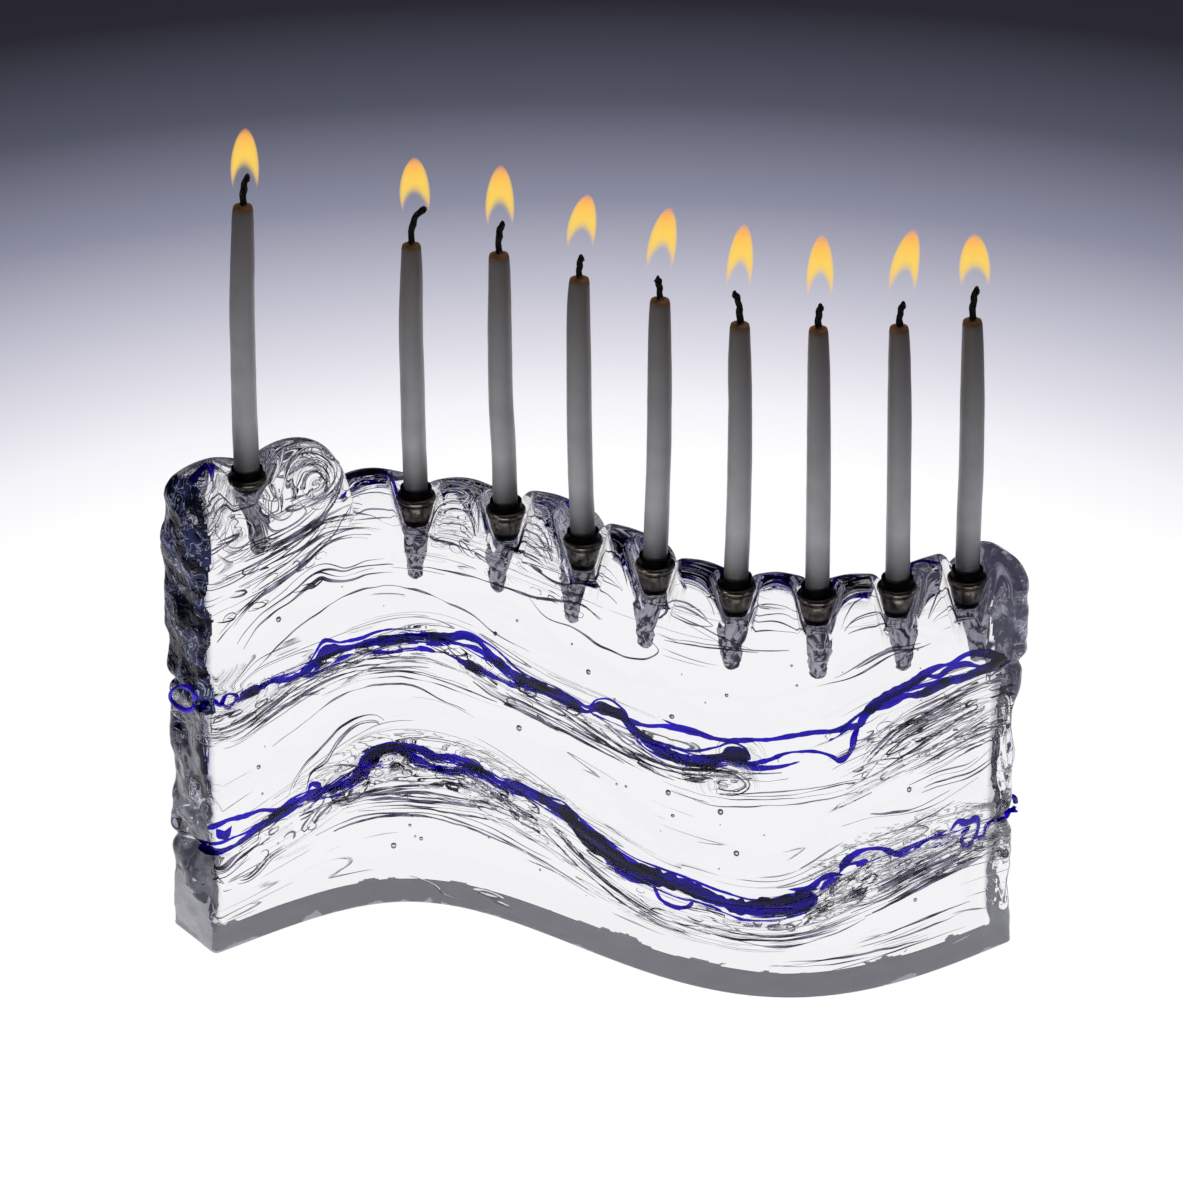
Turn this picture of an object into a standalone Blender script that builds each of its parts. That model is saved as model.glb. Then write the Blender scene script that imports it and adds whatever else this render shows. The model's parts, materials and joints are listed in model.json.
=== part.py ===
"""Menorah: a wave-shaped slab of hot-cast glass, poured in three layers with cobalt trails
between them, that carries nine metal candle cups and nine tapers.

Metres, +Z up, front towards -Y. The origin is the centre of the base on the surface it stands on.
"""
import math

import bmesh
import bpy
from mathutils import Matrix, Vector

# Driving dimensions of the slab's plan: a wave of constant thickness
THICKNESS = 0.028
WAVE_AMPLITUDE = 0.0328
WAVE_LENGTH = 0.276
BACK_BULGE_X = -0.067
LEFT_END_X = -0.1445
RIGHT_END_X = 0.1445

# Edges of the slab
SEAM_ROUNDING = 0.005
END_ROUNDING = 0.004
BASE_ROUNDING = 0.0012
CROWN_ROUNDING = 0.012
STATION_PITCH = 0.006
CROWN_STATION_PITCH = 0.0045

# Neighbouring pieces keep this gap
GAP = 0.0003

# The two seams between the three pours: (x, height), left to right
LOWER_SEAM = [(-0.150, 0.038), (-0.115, 0.049), (-0.078, 0.066), (-0.050, 0.065), (-0.012, 0.054),
              (0.025, 0.041), (0.065, 0.039), (0.098, 0.055), (0.130, 0.057), (0.150, 0.052)]
UPPER_SEAM = [(-0.150, 0.104), (-0.097, 0.109), (-0.054, 0.114), (-0.020, 0.103), (0.010, 0.100),
              (0.045, 0.097), (0.075, 0.104), (0.103, 0.115), (0.130, 0.117), (0.150, 0.116)]

# Candle cups: sizes from the rim down
CUP_LIP_RADIUS = 0.0071
CUP_BORE_RADIUS = 0.0051
CUP_BORE_DEPTH = 0.0123
CUP_COLLAR_HEIGHT = 0.0032
CUP_FUNNEL_DEPTH = 0.0166
CUP_STEM_RADIUS = 0.0026
CUP_STEM_DEPTH = 0.0235
SOCKET_RADIUS = 0.0044
SOCKET_DEPTH = 0.0285
ROUND_SIDES = 12

# Candles
CANDLE_SEAT_DEPTH = CUP_BORE_DEPTH - GAP
WICK_RADIUS = 0.0008
WICK_BORE_RADIUS = WICK_RADIUS + GAP

# One row for each candle, the shamash first and then left to right:
# name, x, rim height, length above the rim, lean to the right in degrees, wick height, wick reach
CANDLES = [
    ("shamash", -0.1215, 0.1821, 0.1053, 0.6, 0.0112, 0.0026),
    ("1", -0.0626, 0.1628, 0.0989, -0.3, 0.0133, 0.0061),
    ("2", -0.0304, 0.1631, 0.1002, -1.1, 0.0120, -0.0009),
    ("3", -0.0030, 0.1608, 0.1021, -0.7, 0.0083, 0.0010),
    ("4", 0.0223, 0.1610, 0.1029, 0.7, 0.0083, 0.0003),
    ("5", 0.0505, 0.1606, 0.1013, 0.2, 0.0115, -0.0029),
    ("6", 0.0788, 0.1586, 0.1031, -0.7, 0.0088, 0.0003),
    ("7", 0.1072, 0.1563, 0.1010, -0.8, 0.0085, 0.0022),
    ("8", 0.1327, 0.1505, 0.1008, -0.5, 0.0120, 0.0022),
]
SHAMASH_RADIUS = 0.00465
CANDLE_RADIUS = 0.0044

# Lobes of the crown that aren't between two cups: (x, peak height, half width)
END_LOBES = [(-0.1405, 0.1870, 0.0185), (-0.1045, 0.1895, 0.0185), (-0.0770, 0.1715, 0.0160),
             (0.1470, 0.1575, 0.0148)]
# How far each lobe between two cups stands above the two rims
LOBE_RISES = [0.0060, 0.0090, 0.0070, 0.0030, 0.0045, 0.0045, 0.0070]
LOBE_OVERLAP = 1.03

# Cobalt trails and end loops
TRAIL_RADIUS = 0.0010
TRAIL_INSET = 0.0012
TRAIL_END_MARGIN = 0.006
LEFT_LOOP_RADIUS = 0.0036
LEFT_LOOP_OFFSET = -0.004
RIGHT_LOOP_RADIUS = 0.0024
RIGHT_LOOP_OFFSET = -0.006
LOOP_WIRE_RADIUS = 0.0007


def clear_scene():
    for item in list(bpy.data.objects):
        bpy.data.objects.remove(item, do_unlink=True)


def material(name, colour, roughness, metallic=0.0, transmission=0.0):
    made = bpy.data.materials.new(name)
    made.use_nodes = True
    shader = made.node_tree.nodes["Principled BSDF"]
    shader.inputs["Base Color"].default_value = (*colour, 1.0)
    shader.inputs["Roughness"].default_value = roughness
    shader.inputs["Metallic"].default_value = metallic
    shader.inputs["Transmission Weight"].default_value = transmission
    return made


# The wave

def wave_phase(x):
    return 2 * math.pi * (x - BACK_BULGE_X) / WAVE_LENGTH


def wave_point(x, offset=0.0, height=0.0):
    """A point of the slab's plan: offset runs square to the wave, towards the back."""
    y = WAVE_AMPLITUDE * math.cos(wave_phase(x))
    slope = -WAVE_AMPLITUDE * 2 * math.pi / WAVE_LENGTH * math.sin(wave_phase(x))
    back = Vector((-slope, 1.0, 0.0)).normalized()
    return Vector((x, y, height)) + back * offset


def wave_direction(x):
    slope = -WAVE_AMPLITUDE * 2 * math.pi / WAVE_LENGTH * math.sin(wave_phase(x))
    return Vector((1.0, slope, 0.0)).normalized()


def smooth_height(points, x):
    """A smooth curve through a seam's points (Catmull-Rom)."""
    last = len(points) - 1
    i = max(k for k in range(last) if points[k][0] <= x or k == 0)
    x0, z0 = points[i]
    x1, z1 = points[i + 1]
    span = x1 - x0
    before = points[max(i - 1, 0)]
    after = points[min(i + 2, last)]
    slope0 = (z1 - before[1]) / (x1 - before[0]) * span
    slope1 = (after[1] - z0) / (after[0] - x0) * span
    t = (x - x0) / span
    return (z0 * (1 + 2 * t) * (1 - t) ** 2 + slope0 * t * (1 - t) ** 2
            + z1 * t * t * (3 - 2 * t) + slope1 * t * t * (t - 1))


def crown_lobes():
    lobes = list(END_LOBES)
    small = CANDLES[1:]
    for left, right, rise in zip(small, small[1:], LOBE_RISES):
        peak = (left[2] + right[2]) / 2 + rise
        lobes.append(((left[1] + right[1]) / 2, peak, (right[1] - left[1]) / 2))
    return lobes


def crown_height(x):
    """The top of the glass: round lobes, with the cups in the dips between them."""
    heights = []
    for centre, peak, half_width in crown_lobes():
        radius = half_width * LOBE_OVERLAP
        reach = abs(x - centre)
        if reach < radius:
            heights.append(peak - radius + math.sqrt(radius ** 2 - reach ** 2))
    return max(heights)


# The three pours

def stations(pitch):
    """Places along the wave as (x, inset): the inset rounds the slab's two ends."""
    ends = []
    for step in (0.0, 0.3, 1.0):
        depth = END_ROUNDING * step
        inset = END_ROUNDING - math.sqrt(END_ROUNDING ** 2 - (END_ROUNDING - depth) ** 2)
        ends.append((depth * wave_direction(LEFT_END_X).x, inset))
    first = LEFT_END_X + ends[-1][0]
    last = RIGHT_END_X - ends[-1][0]
    count = round((last - first) / pitch)
    middle = [(first + (last - first) * i / count, 0.0) for i in range(1, count)]
    left = [(LEFT_END_X + along, inset) for along, inset in ends]
    right = [(RIGHT_END_X - along, inset) for along, inset in reversed(ends)]
    return left + middle + right


def corner(centre_offset, centre_height, radius, start_degrees, segments):
    points = []
    for i in range(segments + 1):
        angle = math.radians(start_degrees + 90 * i / segments)
        points.append((centre_offset + radius * math.cos(angle),
                       centre_height + radius * math.sin(angle)))
    return points


def section(low, high, low_radius, high_radius, high_segments, inset, inset_low):
    """A pour's cross-section as (offset, height), anticlockwise with the back at the right."""
    half = THICKNESS / 2 - inset
    bottom = low + (inset if inset_low else 0.0)
    top = high - inset
    low_r = min(low_radius, half - 0.001)
    high_r = min(high_radius, half - 0.001)
    return (corner(half - low_r, bottom + low_r, low_r, 270, 2)
            + corner(half - high_r, top - high_r, high_r, 0, high_segments)
            + corner(-half + high_r, top - high_r, high_r, 90, high_segments)
            + corner(-half + low_r, bottom + low_r, low_r, 180, 2))


def loft_pour(name, glass, pitch, low_of, high_of, low_radius, high_radius, high_segments,
              inset_low=True):
    """A solid swept along the wave, whose section changes from station to station."""
    mesh = bpy.data.meshes.new(name)
    bm = bmesh.new()
    rings = []
    for x, inset in stations(pitch):
        outline = section(low_of(x), high_of(x), low_radius, high_radius, high_segments,
                          inset, inset_low)
        rings.append([bm.verts.new(wave_point(x, offset, height)) for offset, height in outline])
    for ring, following in zip(rings, rings[1:]):
        for i in range(len(ring)):
            j = (i + 1) % len(ring)
            bm.faces.new((ring[i], ring[j], following[j], following[i]))
    bm.faces.new(reversed(rings[0]))
    bm.faces.new(rings[-1])
    bmesh.ops.recalc_face_normals(bm, faces=bm.faces)
    bm.to_mesh(mesh)
    bm.free()
    return place_mesh(name, mesh, glass)


def place_mesh(name, mesh, finish, smooth_angle=40):
    made = bpy.data.objects.new(name, mesh)
    mesh.materials.append(finish)
    mesh.shade_smooth()
    mesh.set_sharp_from_angle(angle=math.radians(smooth_angle))
    parts.objects.link(made)
    made.parent = menorah
    return made


def lower_pour(glass):
    return loft_pour("lower_pour", glass, STATION_PITCH, lambda x: 0.0,
                     lambda x: smooth_height(LOWER_SEAM, x) - GAP / 2,
                     BASE_ROUNDING, SEAM_ROUNDING, 2, inset_low=False)


def middle_pour(glass):
    return loft_pour("middle_pour", glass, STATION_PITCH,
                     lambda x: smooth_height(LOWER_SEAM, x) + GAP / 2,
                     lambda x: smooth_height(UPPER_SEAM, x) - GAP / 2,
                     SEAM_ROUNDING, SEAM_ROUNDING, 2)


def upper_pour(glass):
    made = loft_pour("upper_pour", glass, CROWN_STATION_PITCH,
                     lambda x: smooth_height(UPPER_SEAM, x) + GAP / 2, crown_height,
                     SEAM_ROUNDING, CROWN_ROUNDING, 4)
    for row in CANDLES:
        cutter = socket_cutter(row)
        cut = made.modifiers.new("socket_" + row[0], "BOOLEAN")
        cut.object = cutter
        cut.operation = "DIFFERENCE"
        cut.solver = "EXACT"
    return made


# Turned pieces

def turned(name, profile, collection, finish=None):
    """A profile of (radius, height) turned about Z, from the top down its outer side."""
    mesh = bpy.data.meshes.new(name)
    bm = bmesh.new()
    points = [bm.verts.new((radius, 0.0, height)) for radius, height in profile]
    for upper, lower in zip(points, points[1:]):
        bm.edges.new((upper, lower))
    bm.to_mesh(mesh)
    bm.free()
    made = bpy.data.objects.new(name, mesh)
    spin = made.modifiers.new("turn", "SCREW")
    spin.steps = ROUND_SIDES
    spin.render_steps = ROUND_SIDES
    spin.use_merge_vertices = True
    spin.merge_threshold = 0.00001
    spin.use_smooth_shade = True
    if finish:
        mesh.materials.append(finish)
    collection.objects.link(made)
    made.parent = menorah
    return made


def rim_centre(row):
    return wave_point(row[1], 0.0, row[2])


def socket_cutter(row):
    """The drilled socket, flared to clear the cup's funnel and lip."""
    lip_clear = CUP_LIP_RADIUS + 0.0005
    profile = [(0.0, 0.030), (lip_clear, 0.030), (lip_clear, -0.0026), (0.0061, -0.0090),
               (SOCKET_RADIUS, -0.0140), (SOCKET_RADIUS, -0.0235), (0.0024, -SOCKET_DEPTH),
               (0.0, -SOCKET_DEPTH)]
    made = turned("socket_cutter_" + row[0], profile, cutters)
    made.location = rim_centre(row)
    made.hide_render = True
    made.display_type = "WIRE"
    return made


def candle_cup(row, finish):
    """A spun cup: collar, rolled bead, tapered funnel and a stem that is bedded in the glass."""
    profile = [(0.0, -CUP_BORE_DEPTH), (CUP_BORE_RADIUS, -CUP_BORE_DEPTH),
               (CUP_BORE_RADIUS, CUP_COLLAR_HEIGHT), (0.0056, CUP_COLLAR_HEIGHT),
               (0.0061, 0.0), (0.0066, 0.0),
               (CUP_LIP_RADIUS, -0.0008), (0.0065, -0.0022), (0.0066, -0.0030),
               (0.0057, -0.0090), (0.0030, -CUP_FUNNEL_DEPTH), (CUP_STEM_RADIUS, -CUP_STEM_DEPTH),
               (0.0, -CUP_STEM_DEPTH)]
    made = turned("candle_cup_" + row[0], profile, parts, finish)
    made.location = rim_centre(row)
    return made


def cup_adhesive(row, finish):
    """Clear adhesive round the stem, down to the socket's tip."""
    inner = 0.0033
    outer = SOCKET_RADIUS - GAP
    profile = [(0.0, -CUP_STEM_DEPTH - GAP), (inner, -CUP_STEM_DEPTH - GAP), (inner, -0.0170),
               (outer, -0.0170), (outer, -0.0234), (0.0020, -SOCKET_DEPTH + GAP),
               (0.0, -SOCKET_DEPTH + GAP)]
    made = turned("cup_adhesive_" + row[0], profile, parts, finish)
    made.location = rim_centre(row)
    return made


def candle_radius(row):
    return SHAMASH_RADIUS if row[0] == "shamash" else CANDLE_RADIUS


def candle_mount(row):
    """An empty at the rim that leans with the candle: the candle lifts along its local Z."""
    mount = bpy.data.objects.new("candle_mount_" + row[0], None)
    mount.location = rim_centre(row)
    mount.rotation_euler = (0.0, math.radians(row[4]), 0.0)
    parts.objects.link(mount)
    mount.parent = menorah
    return mount


def candle(row, mount, wax):
    """A hand-dipped taper with a bore for its wick."""
    foot = candle_radius(row)
    length = row[3]
    profile = [(0.0, -0.0100), (WICK_BORE_RADIUS, -0.0100), (WICK_BORE_RADIUS, length),
               (0.0026, length - 0.0006), (foot * 0.82, length - 0.0035),
               (foot * 0.94, length * 0.50), (foot, 0.0), (foot, -CANDLE_SEAT_DEPTH),
               (0.0, -CANDLE_SEAT_DEPTH)]
    made = turned("candle_" + row[0], profile, parts, wax)
    made.parent = mount
    return made


def wick(row, mount, cotton):
    """A braided cord through the wax, that bends over where it burns."""
    length, rise, reach = row[3], row[5], row[6]
    route = [(0.0, -0.0096), (0.0, length * 0.5), (0.0, length)]
    for i in range(1, 6):
        turn = i / 5
        route.append((reach * turn ** 2, length + rise * (1 - (1 - turn) ** 1.4)))
    data = bpy.data.curves.new("wick_" + row[0], "CURVE")
    data.dimensions = "3D"
    data.bevel_depth = WICK_RADIUS
    data.bevel_resolution = 1
    data.use_fill_caps = True
    spline = data.splines.new("POLY")
    spline.points.add(len(route) - 1)
    for point, (x, z) in zip(spline.points, route):
        point.co = (x, 0.0, z, 1.0)
    data.materials.append(cotton)
    made = bpy.data.objects.new("wick_" + row[0], data)
    parts.objects.link(made)
    made.parent = mount
    return made


# Cobalt glass

def trail(name, seam, start_x, end_x, side, cobalt):
    """A thread of cobalt glass in the groove where two pours meet; side is -1 for the front."""
    count = max(2, round((end_x - start_x) / STATION_PITCH))
    data = bpy.data.curves.new(name, "CURVE")
    data.dimensions = "3D"
    data.bevel_depth = TRAIL_RADIUS
    data.bevel_resolution = 1
    data.use_fill_caps = True
    spline = data.splines.new("POLY")
    spline.points.add(count)
    offset = side * (THICKNESS / 2 - TRAIL_INSET)
    for i, point in enumerate(spline.points):
        x = start_x + (end_x - start_x) * i / count
        point.co = (*wave_point(x, offset, smooth_height(seam, x)), 1.0)
    data.materials.append(cobalt)
    made = bpy.data.objects.new(name, data)
    parts.objects.link(made)
    made.parent = menorah
    return made


def end_loop(name, seam, x, outward_sign, offset, radius, cobalt):
    """A ring of cobalt glass that stands out of a seam at an end of the slab."""
    outward = wave_direction(x) * outward_sign
    centre = wave_point(x, offset, smooth_height(seam, x)) + outward * (radius + GAP)
    bpy.ops.mesh.primitive_torus_add(major_segments=16, minor_segments=6,
                                     major_radius=radius, minor_radius=LOOP_WIRE_RADIUS)
    made = bpy.context.object
    made.name = name
    made.data.name = name
    made.data.materials.append(cobalt)
    made.data.shade_smooth()
    across = Vector((0.0, 0.0, 1.0)).cross(outward)
    made.matrix_local = Matrix.Translation(centre) @ across.to_track_quat("Z", "Y").to_matrix().to_4x4()
    for holder in list(made.users_collection):
        holder.objects.unlink(made)
    parts.objects.link(made)
    made.parent = menorah
    return made


def plan_centre():
    """The centre of the slab's plan, so that the origin falls under the middle of the base."""
    outline = []
    for x, inset in stations(STATION_PITCH):
        for side in (-1, 1):
            outline.append(wave_point(x, side * (THICKNESS / 2 - inset)))
    xs = [point.x for point in outline]
    ys = [point.y for point in outline]
    return Vector(((min(xs) + max(xs)) / 2, (min(ys) + max(ys)) / 2, 0.0))


def build():
    clear_glass = material("clear_glass", (0.93, 0.95, 0.98), 0.03, transmission=1.0)
    cobalt = material("cobalt_glass", (0.02, 0.01, 0.45), 0.05, transmission=0.4)
    nickel = material("dark_nickel", (0.42, 0.38, 0.33), 0.18, metallic=1.0)
    bedding = material("clear_adhesive", (0.42, 0.42, 0.48), 0.5)
    wax = material("white_wax", (0.86, 0.85, 0.83), 0.45)
    charred = material("charred_cotton", (0.02, 0.02, 0.02), 0.9)

    lower_pour(clear_glass)
    middle_pour(clear_glass)
    upper_pour(clear_glass)

    left = LEFT_END_X + TRAIL_END_MARGIN
    right = RIGHT_END_X - TRAIL_END_MARGIN
    blob_x = 0.052
    trail("cobalt_trail_upper_left", UPPER_SEAM, left, blob_x, -1, cobalt)
    trail("cobalt_trail_upper_right", UPPER_SEAM, blob_x + 0.002, right, -1, cobalt)
    trail("cobalt_trail_upper_back", UPPER_SEAM, left, right, 1, cobalt)
    trail("cobalt_trail_lower_front", LOWER_SEAM, left, right, -1, cobalt)
    trail("cobalt_trail_lower_back", LOWER_SEAM, left, right, 1, cobalt)
    end_loop("cobalt_loop_left", UPPER_SEAM, LEFT_END_X, -1, LEFT_LOOP_OFFSET,
             LEFT_LOOP_RADIUS, cobalt)
    end_loop("cobalt_loop_right", LOWER_SEAM, RIGHT_END_X, 1, RIGHT_LOOP_OFFSET,
             RIGHT_LOOP_RADIUS, cobalt)

    for row in CANDLES:
        candle_cup(row, nickel)
        cup_adhesive(row, bedding)
        mount = candle_mount(row)
        candle(row, mount, wax)
        wick(row, mount, charred)


clear_scene()
parts = bpy.data.collections.new("menorah")
cutters = bpy.data.collections.new("cutters")
bpy.context.scene.collection.children.link(parts)
bpy.context.scene.collection.children.link(cutters)
menorah = bpy.data.objects.new("menorah", None)
parts.objects.link(menorah)
menorah.location = -plan_centre()
build()
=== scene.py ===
"""Looks of the cast glass menorah: a wave of glass with cobalt trails, nickel cups and lit tapers."""
import json
import math

import bpy
import numpy as np
from mathutils import Matrix, Vector


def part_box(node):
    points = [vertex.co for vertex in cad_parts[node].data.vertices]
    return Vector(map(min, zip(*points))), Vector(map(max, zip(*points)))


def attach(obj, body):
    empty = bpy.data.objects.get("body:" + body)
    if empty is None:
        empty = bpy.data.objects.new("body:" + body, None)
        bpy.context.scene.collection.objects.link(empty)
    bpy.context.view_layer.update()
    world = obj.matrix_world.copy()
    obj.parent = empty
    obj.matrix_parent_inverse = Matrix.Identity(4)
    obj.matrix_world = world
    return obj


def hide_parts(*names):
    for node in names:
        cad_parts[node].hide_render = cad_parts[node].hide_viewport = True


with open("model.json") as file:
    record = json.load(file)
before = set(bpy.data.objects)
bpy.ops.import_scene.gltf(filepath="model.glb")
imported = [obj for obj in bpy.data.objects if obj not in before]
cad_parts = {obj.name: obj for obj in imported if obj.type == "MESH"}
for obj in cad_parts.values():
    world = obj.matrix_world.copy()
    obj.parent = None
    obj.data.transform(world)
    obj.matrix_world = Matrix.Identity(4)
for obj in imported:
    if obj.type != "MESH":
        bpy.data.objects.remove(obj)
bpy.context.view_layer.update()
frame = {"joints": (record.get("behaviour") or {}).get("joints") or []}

scene = bpy.context.scene
MM = 0.001

# The slab's plan: a wave of constant thickness
THICKNESS = 28 * MM
WAVE_LENGTH = 276 * MM
BACK_BULGE_X = -67 * MM
END_X = 144.5 * MM
base_low, base_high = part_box("lower_pour")
WAVE_AMPLITUDE = (base_high.y - base_low.y) / 2 - THICKNESS / 2

# The two seams between the pours, left to right
LOWER_SEAM = [(-0.150, 0.038), (-0.115, 0.049), (-0.078, 0.066), (-0.050, 0.065), (-0.012, 0.054),
              (0.025, 0.041), (0.065, 0.039), (0.098, 0.055), (0.130, 0.057), (0.150, 0.052)]
UPPER_SEAM = [(-0.150, 0.104), (-0.097, 0.109), (-0.054, 0.114), (-0.020, 0.103), (0.010, 0.100),
              (0.045, 0.097), (0.075, 0.104), (0.103, 0.115), (0.130, 0.117), (0.150, 0.116)]
# The crown without its lobes, which the flow of the glass follows
CROWN_LINE = [(-0.150, 0.180), (-0.118, 0.188), (-0.092, 0.182), (-0.070, 0.168),
              (-0.030, 0.167), (0.020, 0.165), (0.080, 0.160), (0.150, 0.154)]

# Lobes of the crown beside the shamash and at the right end: x, peak height, half width
END_LOBES = [(-132.5 * MM, 191 * MM, 19 * MM), (-105.5 * MM, 189 * MM, 16 * MM),
             (-79 * MM, 171.5 * MM, 18 * MM), (147 * MM, 157.5 * MM, 14.8 * MM)]
# How far each lobe between two cups stands above their rims
LOBE_RISES = [6 * MM, 9 * MM, 7 * MM, 3 * MM, 4.5 * MM, 4.5 * MM, 7 * MM]
LOBE_OVERLAP = 1.03
LOBE_FOOT = 130 * MM

CANDLE_NAMES = ["shamash"] + [str(i) for i in range(1, 9)]
COLLAR_HEIGHT = 3.2 * MM


# The wave and the crown

def wave_phase(x):
    return 2 * np.pi * (x - BACK_BULGE_X) / WAVE_LENGTH


def wave_slope(x):
    return -WAVE_AMPLITUDE * 2 * np.pi / WAVE_LENGTH * np.sin(wave_phase(x))


def on_wave(x, offset, height):
    """Slab coordinates to the row frame: offset runs square to the wave, towards the back."""
    slope = wave_slope(x)
    length = np.sqrt(1 + slope ** 2)
    return np.stack([x - slope / length * offset,
                     WAVE_AMPLITUDE * np.cos(wave_phase(x)) + offset / length,
                     height + 0 * x], axis=-1)


def wave_axes(x):
    """Unit vectors along the wave and square to it, for an array of x."""
    slope = wave_slope(x)
    length = np.sqrt(1 + slope ** 2)
    along = np.stack([1 / length, slope / length, 0 * x], axis=-1)
    back = np.stack([-slope / length, 1 / length, 0 * x], axis=-1)
    return along, back


def smooth_step(low, high, value):
    t = np.clip((value - low) / (high - low), 0, 1)
    return t * t * (3 - 2 * t)


def smooth_curve(points, x):
    """A smooth curve through points whose first values rise (Catmull-Rom), for an array of x."""
    points = np.array(points, float)
    xs, values = points[:, 0], points[:, 1:]
    slopes = np.gradient(values, xs, axis=0)
    i = np.clip(np.searchsorted(xs, x, side="right") - 1, 0, len(xs) - 2)
    span = (xs[i + 1] - xs[i])[..., None]
    t = np.clip((x - xs[i])[..., None] / span, 0, 1)
    found = (values[i] * (1 + 2 * t) * (1 - t) ** 2 + slopes[i] * span * t * (1 - t) ** 2
             + values[i + 1] * t * t * (3 - 2 * t) + slopes[i + 1] * span * t * t * (t - 1))
    return found[..., 0] if values.shape[1] == 1 else found


def rim_of(name):
    """The centre of a cup's rolled bead, which its collar stands on."""
    low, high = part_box("candle_cup_" + name)
    return Vector(((low.x + high.x) / 2, (low.y + high.y) / 2, high.z - COLLAR_HEIGHT))


RIMS = {name: rim_of(name) for name in CANDLE_NAMES}


def crown_lobes():
    lobes = list(END_LOBES)
    small = [RIMS[name] for name in CANDLE_NAMES[1:]]
    for left, right, rise in zip(small, small[1:], LOBE_RISES):
        lobes.append(((left.x + right.x) / 2, (left.z + right.z) / 2 + rise, (right.x - left.x) / 2))
    return lobes


def crown_height(x):
    heights = []
    for centre, peak, half_width in crown_lobes():
        radius = half_width * LOBE_OVERLAP
        reach = np.abs(x - centre)
        round_top = peak - radius + np.sqrt(np.maximum(radius ** 2 - reach ** 2, 0))
        heights.append(np.where(reach < radius, round_top, LOBE_FOOT))
    return np.max(heights, axis=0)


# Noise

class Grain:
    """Smooth value noise of three coordinates, the same at each run."""

    SIZE = 64

    def __init__(self, seed):
        self.table = np.random.RandomState(seed).uniform(-1, 1, (self.SIZE,) * 3)

    def __call__(self, x, y, z):
        cells, fades = [], []
        for value in np.broadcast_arrays(x, y, z):
            floor = np.floor(value)
            part = value - floor
            cells.append(floor.astype(int))
            fades.append(part * part * part * (part * (6 * part - 15) + 10))
        total = 0
        for corner in range(8):
            weight = 1
            place = []
            for axis in range(3):
                far = corner >> axis & 1
                weight = weight * (fades[axis] if far else 1 - fades[axis])
                place.append((cells[axis] + far) % self.SIZE)
            total = total + weight * self.table[tuple(place)]
        return total


# Shader maths

class Term:
    """A value in a material: arithmetic on it adds the material's Math nodes."""

    def __init__(self, finish, socket):
        self.finish = finish
        self.socket = socket

    def maths(self, operation, first, second=0.0):
        return self.finish.node("ShaderNodeMath", {"operation": operation}, {0: first, 1: second})

    def __add__(self, other):
        return self.maths("ADD", self, other)

    __radd__ = __add__

    def __sub__(self, other):
        return self.maths("SUBTRACT", self, other)

    def __rsub__(self, other):
        return self.maths("SUBTRACT", other, self)

    def __mul__(self, other):
        return self.maths("MULTIPLY", self, other)

    __rmul__ = __mul__

    def __abs__(self):
        return self.maths("ABSOLUTE", self)

    def contours(self, count):
        """Lines of equal value, count of them from 0 to 1: 1 on a line and 0 midway between two."""
        share = self.maths("FRACT", self * count)
        return 1 - abs(share - 0.5) * 2

    def step(self, low, high):
        """0 at low and below, 1 at high and above, smooth between them."""
        settings = {"interpolation_type": "SMOOTHSTEP"}
        return self.finish.node("ShaderNodeMapRange", settings,
                                {"Value": self, "From Min": low, "From Max": high})


class Finish:
    """A material with one Principled shader, built up by its nodes."""

    def __init__(self, name, **fixed):
        self.material = bpy.data.materials.new(name)
        self.material.use_nodes = True
        self.tree = self.material.node_tree
        self.shader = self.tree.nodes["Principled BSDF"]
        for socket, value in fixed.items():
            self.shader.inputs[socket.replace("_", " ")].default_value = value

    def node(self, kind, settings=None, inputs=None, output=0):
        made = self.tree.nodes.new(kind)
        for name, value in (settings or {}).items():
            if name == "stops":
                self.set_stops(made.color_ramp, value)
            else:
                setattr(made, name, value)
        for socket, value in (inputs or {}).items():
            self.feed(made.inputs[socket], value)
        return Term(self, made.outputs[output])

    def feed(self, socket, value):
        if isinstance(value, Term):
            self.tree.links.new(value.socket, socket)
        else:
            socket.default_value = value

    def set_stops(self, ramp, stops):
        while len(ramp.elements) < len(stops):
            ramp.elements.new(1.0)
        for element, (place, colour) in zip(ramp.elements, stops):
            element.position = place
            element.color = (*colour, 1.0)

    def drive(self, **sockets):
        for socket, value in sockets.items():
            self.feed(self.shader.inputs[socket.replace("_", " ")], value)

    def attribute(self, name, output="Fac"):
        return self.node("ShaderNodeAttribute", {"attribute_name": name}, output=output)

    def place(self):
        return self.node("ShaderNodeTexCoord", output="Object")

    def stretched(self, vector, scale):
        return self.node("ShaderNodeVectorMath", {"operation": "MULTIPLY"}, {0: vector, 1: scale})

    def noise(self, vector, scale=1.0, detail=2.0, roughness=0.5, distortion=0.0):
        return self.node("ShaderNodeTexNoise", {}, {"Vector": vector, "Scale": scale, "Detail": detail,
                                                    "Roughness": roughness, "Distortion": distortion})

    def mix(self, factor, first, second):
        colours = {"Factor": factor, 6: first, 7: second}
        return self.node("ShaderNodeMix", {"data_type": "RGBA"}, colours, output=2)

    def ramp(self, value, stops):
        return self.node("ShaderNodeValToRGB", {"stops": stops}, {"Fac": value})

    def bump(self, height, distance):
        return self.node("ShaderNodeBump", {}, {"Height": height, "Distance": distance, "Strength": 1.0})


def rgb(red, green, blue):
    return (red, green, blue, 1.0)


# Pieces from arrays

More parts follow.
